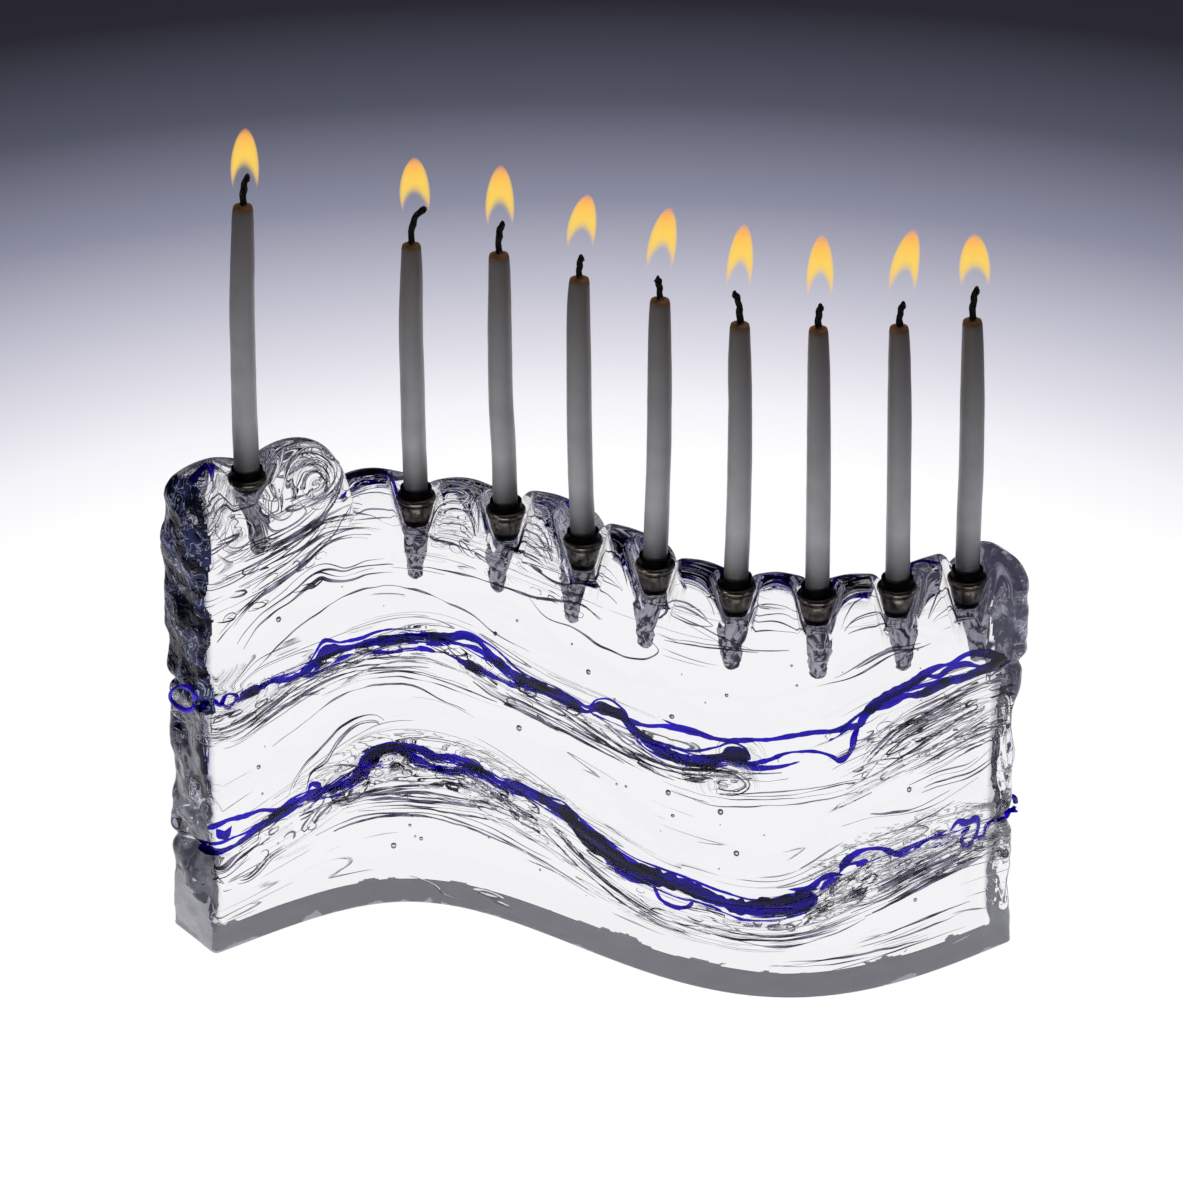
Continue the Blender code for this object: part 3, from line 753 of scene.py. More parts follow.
# Wisps of cobalt that were drawn up into the crown's lobes
CROWN_WISPS = [
    (16, [(-144, 172, 0.5), (-140, 180, 1.5), (-133, 186, 1.2), (-128, 187, 0.4)]),
    (18, [(-110, 186, 0.3), (-102, 186, 1), (-95, 180, 0.8)]),
    (15, [(-92, 166, 0.5), (-84, 168, 1.8), (-76, 168.5, 1.9), (-69, 164, 1), (-66, 160, 0.4)]),
    (17, [(-14, 167, 0.4), (-8, 168, 1.4), (-4.5, 162, 1.6), (-4, 157, 0.6)]),
    (17, [(10, 166, 0.5), (16, 166, 1.5), (20, 160, 1.7), (21, 154, 0.8)]),
    (17, [(32, 160, 0.3), (38, 161.5, 1), (45, 158, 1.3), (47, 152, 0.6)]),
    (15, [(57, 154, 0.4), (62, 160, 1.3), (67, 160, 1.4), (73, 153, 0.5)]),
    (17, [(83, 152, 0.8), (88, 158, 1.1), (96, 157, 0.7)]),
    (16, [(112, 152, 0.4), (118, 158, 1), (125, 153, 0.7)]),
    (13, [(131, 150, 0.4), (135, 155.5, 1.6), (140, 154, 1.2)])]


def cobalt_finish():
    cobalt = Finish("cobalt_glass", Roughness=0.0, IOR=1.0, Transmission_Weight=1.0)
    depth = cobalt.noise(cobalt.stretched(cobalt.place(), (45, 45, 230)), detail=1, distortion=0.4)
    share = depth.step(0.46, 0.62) * 0.5 + cobalt.attribute("thin").step(0.50, 0.95) * 0.7
    cobalt.drive(Base_Color=cobalt.mix(share, rgb(0.006, 0.005, 0.034), rgb(0.020, 0.003, 0.50)))
    return cobalt


def cobalt_loop_finish():
    """The threads that stand clear of the slab: bright, glossy cobalt, with a painted glow."""
    cobalt = Finish("cobalt_thread", Roughness=0.12, IOR=1.5, Emission_Strength=0.22)
    depth = cobalt.noise(cobalt.place(), scale=240, detail=2)
    colour = cobalt.mix(depth.step(0.38, 0.62), rgb(0.010, 0.004, 0.22), rgb(0.045, 0.010, 0.85))
    cobalt.drive(Base_Color=colour, Emission_Color=colour)
    return cobalt


def depth_offset(x, height, depth):
    """The offset of a place at a depth behind the front face, which leans back under the crown."""
    rounding = crown_rounding(x)
    rise = np.clip(height - (crown_height(x) - rounding), 0, rounding * 0.96)
    lean = rounding - np.sqrt(rounding ** 2 - rise ** 2)
    return np.minimum(depth + lean, THICKNESS - 4 * MM) - THICKNESS / 2


def strand_tube(depth, route, seed, sides=14, fray=0.28):
    """A melted trail through given points, frayed where it is thick: points, faces, thinness."""
    along, (x, height, radius) = follow(route, 0.6 * MM)
    grain = Grain(seed + 21)
    height = height + grain(along * 150, 3.1, seed) * 0.35 * MM
    torn = grain(along * 230, 7.7, seed) + 0.7 * grain(along * 640, 2.7, seed)
    radius = np.maximum(radius, 0.12 * MM) * (1 + fray * torn)
    edge = np.minimum(along, along[-1] - along)
    radius = radius * np.sqrt(np.clip(edge / (1.8 * MM), 0.02, 1))
    offset = depth_offset(x, height, np.maximum(depth * MM, radius * 0.55 + 1.7 * MM))
    height = np.minimum(height, top_of_glass(x, offset) - radius - 2.4 * MM)
    points, faces = tube(on_wave(x, offset, height), radius, sides, flatten=0.55)
    thin = np.clip(1.5 - radius / (2.2 * MM), 0, 1)
    return points, faces, np.concatenate([np.repeat(thin, sides), thin[[0, -1]]])


def stray_threads(depth, points, seed):
    """Two fine threads that wander off a long strand and come back to it."""
    grain = Grain(seed)
    threads = []
    for side in (-1, 1):
        route = []
        for x, height, radius in points:
            drift = side * (radius + 0.3) + 2.2 * grain(x * 0.08, side * 3.3, seed)
            route.append((x, height + drift, 0.26 + 0.7 * abs(grain(x * 0.15, side * 5.1, seed))))
        threads.append((depth + 1.2, route))
    return threads


def make_trail(name, stands_for, strands, finish, seed):
    strays = []
    for depth, route in strands:
        if max(radius for _, _, radius in route) > THICK_STRAND:
            strays += stray_threads(depth, route, seed + len(strays))
    parts = [strand_tube(depth, route, seed + i) for i, (depth, route) in enumerate(strands + strays)]
    points, faces, thin = joined(parts)
    mesh_piece(name, points, faces, finish, "cobalt_glass", stands_for, smooth=False, thin=thin)


def make_end_loop(side, finish, radius, tilt):
    """A curl of cobalt thread that stands out of the slab's end."""
    low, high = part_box("cobalt_loop_" + side)
    angle = np.linspace(0, 2 * np.pi * 0.93, 70)
    curl = np.stack([radius * np.cos(angle) * math.cos(tilt), radius * np.cos(angle) * math.sin(tilt),
                     radius * np.sin(angle) + 0.5 * MM * np.sin(angle * 2)], axis=-1)
    thickness = 0.8 * MM * (1 + 0.25 * np.sin(angle * 1.5 + 1))
    points, faces = tube(np.array((low + high) / 2) + curl, thickness, 14)
    mesh_piece("cobalt_end_loop_" + side, points, faces, finish, "cobalt_glass", ["cobalt_loop_" + side])


def make_cobalt():
    cobalt, thread = cobalt_finish(), cobalt_loop_finish()
    trails = {"upper_left": UPPER_LEFT, "upper_right": UPPER_RIGHT, "upper_back": UPPER_BACK,
              "lower_front": LOWER_FRONT, "lower_back": LOWER_BACK}
    for number, (place, strands) in enumerate(trails.items()):
        make_trail("cobalt_" + place, ["cobalt_trail_" + place], strands, cobalt, 100 + 20 * number)
    make_trail("cobalt_crown_wisps", [], CROWN_WISPS, cobalt, 200)
    make_end_loop("left", thread, 4.8 * MM, -0.3)
    make_end_loop("right", thread, 2.8 * MM, 0.3)


# Folds: fine lines where one gather of glass met the next. Each bundle: how many, spread, then x and height

FOLD_BUNDLES = [
    (5, 5, [(-143, 143), (-124, 146), (-112, 150), (-101, 158), (-94, 168), (-90, 174)]),
    (6, 4, [(-143, 155), (-131, 158), (-119, 159), (-106, 163), (-97, 171), (-94, 179)]),
    (5, 5, [(-142, 150), (-126, 152), (-112, 155), (-100, 159), (-84, 157), (-70, 153)]),
    (4, 3, [(-138, 136), (-124, 141), (-112, 147), (-99, 155), (-86, 156), (-72, 152)]),
    (6, 3.5, [(-139, 163), (-142, 172), (-138, 180), (-130, 182.5), (-125, 182)]),
    (4, 2.5, [(-139, 160), (-132, 158), (-124, 162)]),
    (5, 3, [(-115, 171), (-106, 172), (-97, 176), (-93, 182), (-97, 187)]),
    (5, 2.5, [(-112, 178), (-107, 184), (-101, 183), (-98, 178), (-104, 176)]),
    (4, 4, [(-137, 119), (-127, 131), (-115, 137), (-102, 143), (-93, 140), (-84, 141), (-70, 141)]),
    (2, 1, [(-70, 141.5), (-55, 140.8), (-41, 139.9), (-29, 139.3), (-23, 139), (-13, 139), (-4, 140.5),
         (4, 142), (12, 138.5), (20, 137), (27, 133), (31, 132)]),
    (2, 1, [(-68, 150.5), (-56, 150.8), (-45, 150), (-36, 149.6), (-28, 150)]),
    (2, 1, [(-22, 151), (-14, 150.6), (-6, 148), (4, 149.5), (12, 150), (20, 143)]),
    (1, 0.5, [(-16, 138), (-9, 131.4), (0, 131), (10, 128.5), (20, 128), (26, 129.5), (30, 134),
         (25.5, 138.5)]),
    (1, 0.8, [(-128, 112), (-108, 124), (-90, 131), (-70, 132), (-55, 129.4), (-46, 127), (-37, 124.4),
         (-29, 119.6), (-15, 115.4)]),
    (2, 1.5, [(30, 152), (40, 148), (52, 143), (60, 141)]),
    (1, 0.5, [(31, 150), (36, 153.5), (43, 152), (47, 149), (41, 147.5), (33, 149)]),
    (2, 1, [(30, 140), (50, 140.4), (70, 142)]),
    (3, 1.5, [(76, 128), (88, 132), (100, 137.5), (110, 137), (122, 141)]),
    (3, 2, [(-141, 127), (-129, 138), (-118, 145)]),
    # Under the upper seam
    (6, 3.5, [(-148, 98), (-142, 91), (-133, 90), (-122, 94), (-112, 99), (-104, 102)]),
    (6, 3.5, [(-146, 90), (-136, 86), (-124, 90), (-112, 95), (-98, 99.5), (-84, 101)]),
    (5, 3, [(-104, 100), (-90, 101), (-76, 101), (-62, 101), (-50, 99), (-38, 96)]),
    (3, 2, [(-112, 92), (-96, 95), (-78, 95.5), (-62, 95), (-48, 93), (-30, 90), (-19, 89.4)]),
    (6, 3, [(-46, 105), (-38, 99), (-28, 94), (-16, 92), (-4, 90), (8, 88), (20, 86), (34, 82)]),
    (5, 2, [(-26, 97), (-14, 97), (-2, 95.5), (8, 91.5), (20, 88), (34, 87), (48, 90), (62, 91), (76, 93)]),
    (4, 2.5, [(6, 98), (11, 96), (18, 92), (28, 88), (38, 85)]),
    (3, 1.2, [(42, 84), (46, 90), (52, 91), (57, 87), (52, 83), (45, 84)]),
    (4, 3.5, [(30, 83), (46, 80), (62, 82), (76, 84), (90, 86), (104, 85)]),
    (7, 5, [(90, 90), (99, 99), (110, 104), (124, 108), (136, 109)]),
    (7, 5, [(92, 95), (103, 106), (114, 110), (126, 113), (138, 113)]),
    (7, 5, [(96, 86), (108, 92), (120, 97), (131, 101), (141, 103)]),
    (5, 4, [(100, 84), (112, 86), (124, 89), (136, 90), (143, 90)]),
    (4, 4, [(104, 78), (116, 80), (127, 79), (138, 84)]),
    # The arch in the middle pour
    (2, 0.7, [(-124, 51.6), (-116, 54.2), (-113.5, 59.4), (-109.5, 65), (-104.5, 69), (-99.5, 74), (-94, 78),
         (-88, 80), (-80, 79.4), (-76, 75.8), (-74, 68.2)]),
    (2, 0.7, [(-110, 53), (-108, 60.8), (-101.5, 65), (-97, 71), (-92.5, 75.4), (-87, 77.6), (-80.5, 77),
         (-77, 74), (-74.5, 70)]),
    (2, 0.6, [(-108, 58), (-103.5, 61.8), (-98, 61.4), (-89.5, 58.4), (-94, 57.6), (-101.5, 57.6),
         (-107, 56)]),
    (1, 0.5, [(-122, 78), (-108, 84), (-98, 89.5), (-86, 92), (-78, 92), (-60, 90), (-50, 86), (-40, 83.6)]),
    # Under the lower seam
    (6, 3, [(-118, 44), (-106, 47), (-92, 48), (-76, 49), (-60, 50), (-44, 52), (-28, 49)]),
    (7, 4, [(-114, 40), (-98, 43), (-80, 43.5), (-62, 43), (-44, 43), (-26, 44), (-12, 41), (0, 36)]),
    (3, 3, [(-108, 34), (-90, 38), (-70, 38.4), (-50, 37), (-30, 35), (-12, 31), (2, 27), (12, 24)]),
    (6, 2.5, [(-14, 50), (-6, 44), (2, 38), (10, 33), (20, 28), (32, 24), (44, 24)]),
    (6, 2.5, [(32, 27), (46, 25), (58, 24), (70, 24.5), (82, 28), (94, 33), (106, 36)]),
    (3, 2, [(-140, 30), (-132, 26), (-122, 32), (-112, 36)]),
    (4, 2.5, [(-147, 37), (-141, 33), (-134, 36), (-126, 40)]),
    (7, 4, [(84, 38), (98, 40), (112, 45), (126, 48), (140, 51)]),
    (7, 4, [(88, 33), (102, 37), (114, 41), (128, 43), (140, 46)]),
    (3, 3, [(78, 19), (96, 20), (112, 22), (130, 23), (140, 22)]),
    (2, 2, [(60, 14), (84, 14), (106, 14), (128, 15)]),
    (2, 2, [(84, 70), (94, 72), (108, 70), (122, 73), (134, 78)]),
    (1, 0.5, [(93, 63), (100, 62.4), (110, 65.6), (122, 69)]),
    (3, 0.9, [(-83, 55), (-80.5, 60), (-76, 62.8), (-70, 62.6), (-66, 60), (-63.5, 56)]),
    (4, 1.2, [(-77, 55), (-74, 57), (-71.5, 58.4), (-69, 57), (-67, 55)])]
# Nested arches inside the lobes beside cups: x of the middle, half width, foot, crest, how many
LOBE_ARCHES = [(-45.5, 11, 153, 167, 8), (-16.5, 10.5, 152, 166, 8), (10.5, 9.5, 152, 164, 4),
               (37, 9.5, 150, 159, 3), (65, 10, 148, 159, 4), (93.5, 10, 147, 157, 4),
               (120.5, 9, 144, 155, 4), (-80, 13, 158, 167, 3)]


def fold_finish():
    fold = Finish("fold_line", Roughness=0.0, IOR=1.0, Transmission_Weight=1.0)
    tone = fold.noise(fold.place(), scale=120, detail=2)
    colour = fold.mix(tone.step(0.35, 0.65), rgb(0.018, 0.015, 0.035), rgb(0.26, 0.24, 0.32))
    fold.drive(Base_Color=colour)
    return fold


def fold_tube(route, radius, depth, seed, shift=0.0, start=0.0, end=1.0):
    """One fold: part of a route, shifted across it, wandering a little and fading out at both ends."""
    along, (x, height) = follow(route, 1.1 * MM, start, end)
    heading = np.stack([np.gradient(x), np.gradient(height)])
    heading /= np.linalg.norm(heading, axis=0)
    grain = Grain(seed)
    sway = shift + (0.9 * grain(along * 55, 1.7, seed) + 0.25 * grain(along * 210, 4.1, seed)) * MM
    x = np.clip(x - heading[1] * sway, 2 * MM - END_X, END_X - 2 * MM)
    height = height + heading[0] * sway
    deep = depth_offset(x, height, depth)
    height = np.minimum(height, top_of_glass(x, deep) - 1.2 * MM)
    fade = np.sin(np.linspace(0.12, np.pi - 0.12, len(x))) ** 0.6
    width = radius * fade * (1 + 0.85 * grain(along * 110, 9.3, seed))
    return tube(on_wave(x, deep, height), np.maximum(width, 0.03 * MM), 6)


# Bands full of small curls: the line they follow, x from and to, height from and to, how many
CURL_BANDS = [(LOWER_SEAM, -114, -8, -14, -2, 80), (LOWER_SEAM, -6, 74, -13, -4, 26),
              (LOWER_SEAM, 76, 94, -16, -2, 34), (LOWER_SEAM, 94, 144, -17, -1, 40),
              (LOWER_SEAM, -144, -116, -12, 4, 18), (UPPER_SEAM, -144, -98, -14, -1, 36),
              (UPPER_SEAM, -98, -30, -9, -1, 44), (UPPER_SEAM, -28, 62, -13, -3, 46),
              (UPPER_SEAM, 40, 60, -15, -6, 12), (UPPER_SEAM, 88, 144, -26, -3, 60),
              (UPPER_SEAM, -142, -100, 30, 64, 26), (UPPER_SEAM, -60, 2, 36, 48, 18)]


def curls(draw):
    """Small closed or half-closed lens shapes that lie along the bands."""
    routes = []
    for line, from_x, to_x, low, high, count in CURL_BANDS:
        for _ in range(count):
            x = draw.uniform(from_x, to_x)
            ahead = smooth_curve(line, np.array([x, x + 1]) * MM) / MM
            height = ahead[0] + draw.uniform(low, high)
            slope = math.atan(ahead[1] - ahead[0]) + draw.uniform(-0.35, 0.35)
            long_side, short_side = draw.uniform(1.2, 5.5), draw.uniform(0.35, 1.3)
            begin, span = draw.uniform(0, 6.28), draw.uniform(3.4, 6.2)
            route = []
            for a in np.linspace(begin, begin + span, 12):
                along, across = long_side * math.cos(a), short_side * math.sin(a)
                route.append((x + along * math.cos(slope) - across * math.sin(slope),
                              height + along * math.sin(slope) + across * math.cos(slope)))
            routes.append(route)
    return routes


def bundle_folds(draw, count, spread, route):
    """Folds side by side along one route. A lone fold runs its whole length."""
    folds = []
    for i in range(count):
        shift, start, end, radius = 0.0, 0.0, 1.0, 0.34
        if count > 1:
            shift = ((i + 0.5) / count * 2 - 1) * spread * MM
            start, end = draw.uniform(0, 0.3), draw.uniform(0.7, 1.0)
        if spread > 1.2:
            radius = draw.choice([0.20, 0.34, 0.55], p=[0.4, 0.35, 0.25])
        depth = draw.uniform(1.2, 5.0) * MM
        folds.append(fold_tube(route, radius * MM, depth, draw.randint(1, 9000), shift, start, end))
    return folds


def arch_folds(draw, middle, half_width, foot, crest, count):
    """Nested arches, the widest and highest last."""
    folds = []
    for share in np.linspace(0.15, 1.0, count):
        arch = [(middle + half_width * math.cos(a) * (0.65 + 0.35 * share),
                 foot + (crest - foot) * share * math.sin(a)) for a in np.linspace(2.9, 0.25, 9)]
        radius = draw.choice([0.16, 0.24, 0.36]) * MM
        folds.append(fold_tube(arch, radius, draw.uniform(1.5, 6) * MM, draw.randint(1, 9000)))
    return folds


def make_folds():
    draw = np.random.RandomState(17)
    parts = []
    for route in curls(np.random.RandomState(29)):
        radius = draw.choice([0.15, 0.24, 0.38]) * MM
        parts.append(fold_tube(route, radius, draw.uniform(1.2, 5.5) * MM, draw.randint(1, 9000)))
    for bundle in FOLD_BUNDLES:
        parts += bundle_folds(draw, *bundle)
    for arches in LOBE_ARCHES:
        parts += arch_folds(draw, *arches)
    points, faces = joined(parts)
    mesh_piece("folds_in_glass", points, faces, fold_finish(), "clear_glass", smooth=False)


# Seeds: small bubbles of air in the glass

LARGE_SEEDS = [(-118, 128, 1.1), (-126.5, 70.5, 0.9), (-19.5, 82, 1.2), (-28.5, 118, 0.9), (6, 115.5, 1),
               (34, 108.5, 1.1), (49.5, 74, 1.1), (33, 77, 1.1), (34.5, 68, 0.8), (-73.5, 23.5, 1.2),
               (-61, 26.5, 0.8), (107, 79, 1), (110, 32, 0.8), (54.5, 58, 1.1), (-65, 36, 0.7),
               (-66, 32, 0.7), (19, 74, 0.6), (-20, 126, 0.6), (51, 122, 0.7), (-72, 57.2, 1.9)]


def make_seeds():
    air = Finish("air_bubble", Roughness=0.0, IOR=1 / 1.5, Transmission_Weight=1.0)
    draw = np.random.RandomState(31)
    bubbles = [(x, height, 4.0, size) for x, height, size in LARGE_SEEDS]
    for _ in range(50):
        size = draw.choice([0.25, 0.35, 0.5])
        bubbles.append((draw.uniform(-130, 138), draw.uniform(14, 140), draw.uniform(5, 22), size))
    arc = np.linspace(0, np.pi, 11)
    half_circle = np.stack([np.sin(arc), np.cos(arc)], axis=-1)
    parts = []
    for x, height, depth, size in bubbles:
        points, faces = turned(half_circle * size * MM, 20)
        points = points * (1.0, 1.0, draw.uniform(0.8, 1.15))
        parts.append((points + on_wave(x * MM, depth * MM - THICKNESS / 2, height * MM), faces))
    points, faces = joined(parts)
    mesh_piece("glass_seeds", points, faces, air, "clear_glass")


# Cups and their bedding

def nickel_finish():
    nickel = Finish("dark_nickel", Metallic=1.0)
    haze = nickel.noise(nickel.place(), scale=260, detail=4)
    spun = nickel.noise(nickel.stretched(nickel.place(), (120, 120, 5200)), detail=1)
    sooty = nickel.attribute("sooty")
    metal = nickel.mix(haze.step(0.35, 0.7), rgb(0.19, 0.168, 0.138), rgb(0.42, 0.375, 0.31))
    # Near black on the collar above the bead, and painted shade inside the bore
    colour = nickel.mix(sooty, metal, rgb(0.006, 0.006, 0.007))
    nickel.drive(Base_Color=colour, Roughness=0.15 + haze * 0.14 + sooty * 0.3,
                 Normal=nickel.bump(spun, 0.03 * MM))
    return nickel


def bedding_finish():
    # The bedding glows with its own colour: a painted glow
    bedding = Finish("cup_bedding", IOR=1.45, Emission_Strength=0.20)
    place = bedding.place()
    crumple = bedding.noise(place, scale=330, detail=3, distortion=1.1)
    streak = bedding.noise(bedding.stretched(place, (700, 700, 150)), detail=2)
    # The pale and dark patches are partly the adhesive's crumpled tone and partly painted highlights and
    # shade
    pale = bedding.mix(crumple.step(0.42, 0.54), rgb(0.055, 0.05, 0.085), rgb(0.82, 0.80, 0.92))
    colour = bedding.mix(streak.step(0.50, 0.7) * 0.55, pale, rgb(0.13, 0.12, 0.16))
    bedding.drive(Base_Color=colour, Emission_Color=colour, Roughness=0.16 + crumple * 0.25,
                  Normal=bedding.bump(crumple, 1.2 * MM))
    return bedding


# Outlines as (radius, height from the bead's top), in millimetres
COLLAR = [(5.1, 2.9), (5.2, 3.1), (5.4, 3.2), (5.65, 3.1), (5.7, 2.7), (5.75, 0.7), (5.9, 0.35),
          (6.3, 0.3), (6.8, 0.05), (7.15, -0.4), (7.25, -1.0), (7.1, -1.6), (6.75, -1.95)]
CUP_BORE = [(0, -12.3), (2.8, -12.3), (3.4, -11.6), (4.7, -8.6), (5.1, -6.5)]
CUP_BOWL = [(6.35, -2.1), (6.15, -2.3), (6.15, -2.5), (6.45, -2.65), (6.55, -2.95), (6.45, -3.25),
            (6.15, -3.4), (6.1, -4.0), (6.0, -5.0), (5.8, -6.2), (5.45, -7.7), (5.0, -9.2), (4.4, -10.8),
            (3.8, -12.2), (3.2, -13.0), (2.6, -13.5), (2.6, -23.3), (0, -23.5)]
SHAMASH_BORE = [(0, -12.3), (2.8, -12.3), (3.3, -9.5), (3.85, -5.0), (5.1, -2.4)]
SHAMASH_NECK = [(6.3, -2.2), (6.0, -2.6), (5.8, -3.0), (5.2, -3.9), (4.6, -4.8), (4.3, -5.8), (4.1, -9.0),
                (3.7, -12.0), (3.1, -13.0), (2.6, -13.6), (2.6, -23.3), (0, -23.5)]
BEDDING = [(2.8, -12.2), (3.8, -12.6), (4.4, -14.0), (4.3, -16.5), (4.0, -19.5), (3.6, -22.5),
           (3.2, -25.5), (2.8, -28.2), (2.4, -30.2), (1.2, -31.2)]
SHAMASH_BEDDING = [(3.6, -4.6), (4.5, -5.2), (4.9, -6.4), (4.8, -9.0), (4.6, -12.0), (4.2, -16.0),
                   (3.8, -20.0), (3.3, -24.0), (2.6, -27.4), (1.4, -28.6)]


def make_cup(name, nickel):
    profile = SHAMASH_BORE + COLLAR + SHAMASH_NECK if name == "shamash" else CUP_BORE + COLLAR + CUP_BOWL
    points, faces = turned(np.array(profile) * MM, 72)
    inside = np.hypot(points[:, 0], points[:, 1]) < 5.3 * MM
    # Near black on the collar above the bead, and painted shade inside the bore
    sooty = np.maximum(smooth_step(-0.25 * MM, 0.3 * MM, points[:, 2]), inside & (points[:, 2] > -13 * MM))
    cup = mesh_piece("nickel_cup_" + name, points + np.array(RIMS[name]), faces, nickel, "dark_nickel",
                     ["candle_cup_" + name], sooty=sooty)
    cup.data.set_sharp_from_angle(angle=math.radians(50))


def make_bedding(name, finish, seed):
    """The rough plug of adhesive that a cup's stem is bedded in."""
    outline = np.array(SHAMASH_BEDDING if name == "shamash" else BEDDING)
    height = np.linspace(outline[0, 1], outline[-1, 1], 46)
    radius = smooth_curve(np.column_stack([-outline[:, 1], outline[:, 0]]), -height)
    profile = np.vstack([[(0, height[0])], np.column_stack([radius, height]), [(0, height[-1] - 0.1)]])
    points, faces = turned(profile * MM, 48)
    around = np.arctan2(points[:, 1], points[:, 0])
    grain = Grain(seed)
    rough = 1
    for depth, turns, rise in ((0.13, 1.8, 230), (0.12, 4, 620), (0.06, 10, 1500)):
        rough = rough + depth * grain(np.cos(around) * turns, np.sin(around) * turns, points[:, 2] * rise)
    points[:, :2] *= rough[:, None]
    mesh_piece("cup_bedding_" + name, points + np.array(RIMS[name]), faces, finish, "clear_adhesive",
               ["cup_adhesive_" + name])


# Tapers, wicks and flames

def wax_finish():
    wax = Finish("white_wax", IOR=1.44, Subsurface_Weight=0.25, Subsurface_Scale=0.004,
                 Subsurface_Radius=(1.0, 0.75, 0.55))
    place = wax.place()
    cloud = wax.noise(place, scale=90, detail=3)
    dips = wax.noise(wax.stretched(place, (260, 260, 60)), detail=2)
    # Painted shading up the taper: a painted shadow at the foot by the cup, brightest low down, darker
    # upwards, and warm painted flame light at the very top
    stops = [(0.0, (0.14, 0.14, 0.14)), (0.055, (0.20, 0.20, 0.205)), (0.12, (0.55, 0.55, 0.56)),
             (0.22, (0.84, 0.84, 0.86)), (0.42, (0.66, 0.65, 0.66)), (0.65, (0.45, 0.44, 0.44)),
             (0.86, (0.28, 0.265, 0.26)), (0.985, (0.21, 0.185, 0.17)), (1.0, (0.34, 0.18, 0.08))]
    painted_taper_shading = wax.ramp(wax.attribute("up"), stops)
    colour = wax.mix(cloud.step(0.3, 0.8) * 0.2, painted_taper_shading, rgb(0.20, 0.18, 0.17))
    wax.drive(Base_Color=colour, Roughness=0.30 + cloud * 0.14, Normal=wax.bump(dips, 0.25 * MM))
    return wax


def wick_finish():
    wick = Finish("charred_wick", Roughness=0.95)
    ash = wick.noise(wick.place(), scale=1500, detail=3)
    colour = wick.mix(ash.step(0.60, 0.80), rgb(0.002, 0.002, 0.003), rgb(0.012, 0.010, 0.010))
    wick.drive(Base_Color=colour, Normal=wick.bump(ash, 0.15 * MM))
    return wick


def flame_finish():
    flame = Finish("flame", Base_Color=rgb(0, 0, 0), Roughness=1.0, Specular_IOR_Level=0.0,
                   Emission_Strength=1.0)
    stops = [(0.0, (1.0, 0.50, 0.30)), (0.25, (1.0, 0.60, 0.20)), (0.45, (1.0, 0.67, 0.11)),
             (0.65, (1.0, 0.66, 0.12)), (0.82, (1.0, 0.56, 0.11)), (0.94, (1.0, 0.42, 0.12)),
             (1.0, (0.95, 0.36, 0.16))]
    flame.drive(Emission_Color=flame.ramp(flame.attribute("up"), stops), Alpha=flame.attribute("glow"))
    return flame


SEAT_DEPTH = 12 * MM
SHAMASH_RADIUS = 4.65 * MM
CANDLE_RADIUS = 4.4 * MM
WICK_RADIUS = 0.8 * MM

# In millimetres, for each candle: the flame's height above the wax, its half width, the sway of its tip
# to the right, the height of its foot above the wax, and the sideways bow of the taper at its middle
BURNING = {"shamash": (30, 4.9, 1.2, 4.5, -0.8), "1": (34, 5.3, 1.8, 11, -0.7),
           "2": (34.5, 5, 1.6, 8.5, -0.6), "3": (32.5, 5, 3.4, 10, -0.6),
           "4": (35.5, 4.9, 2.6, 9.5, 0.5), "5": (38.5, 4.4, 1, 11.5, 0.5),
           "6": (36, 4.6, 1.2, 9.5, 0.4), "7": (37.5, 4.9, 4.6, 10.5, 0.4),
           "8": (33.5, 5.4, 0.2, 11, 0.5)}
# The rounded top of a taper, as shares of its radius and heights above its shoulder in millimetres
TAPER_TOP = ((0.90, 0.15), (0.78, 0.05), (0.60, 0.15), (0.44, 0.45), (0.34, 0.9), (0.30, 1.5))


def lean_of(name):
    joint = next(j for j in frame["joints"] if j["name"] == "candle_lift_" + name)
    return Vector(joint["axis"]).normalized()


def candle_piece(kind, name, points, faces, finish, slot, stands_for=(), **attributes):
    """Stands a shape that was made upright round the Z axis in its cup, with the candle's lean."""
    turn = np.array(lean_of(name).to_track_quat("Z", "Y").to_matrix())
    side = turn @ np.array((1.0, 0, 0))
    level = np.array(Matrix.Rotation(-math.atan2(side[1], side[0]), 3, "Z"))
    points = points @ (turn @ level).T + np.array(RIMS[name])
    mesh_piece(kind + name, points, faces, finish, slot, stands_for, "lift_candle_" + name, **attributes)


def wax_length(name):
    """The length of a taper above the rim."""
    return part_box("candle_" + name)[1].z - RIMS[name].z


def wick_course(name):
    """How high a wick stands above the wax, and how far its tip reaches to the right."""
    low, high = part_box("wick_" + name)
    length = wax_length(name)
    rise = high.z - RIMS[name].z - length
    middle = RIMS[name].x + lean_of(name).x * (length + rise)
    right, left = high.x - middle, middle - low.x
    return rise, right - WICK_RADIUS if right > left else WICK_RADIUS - left


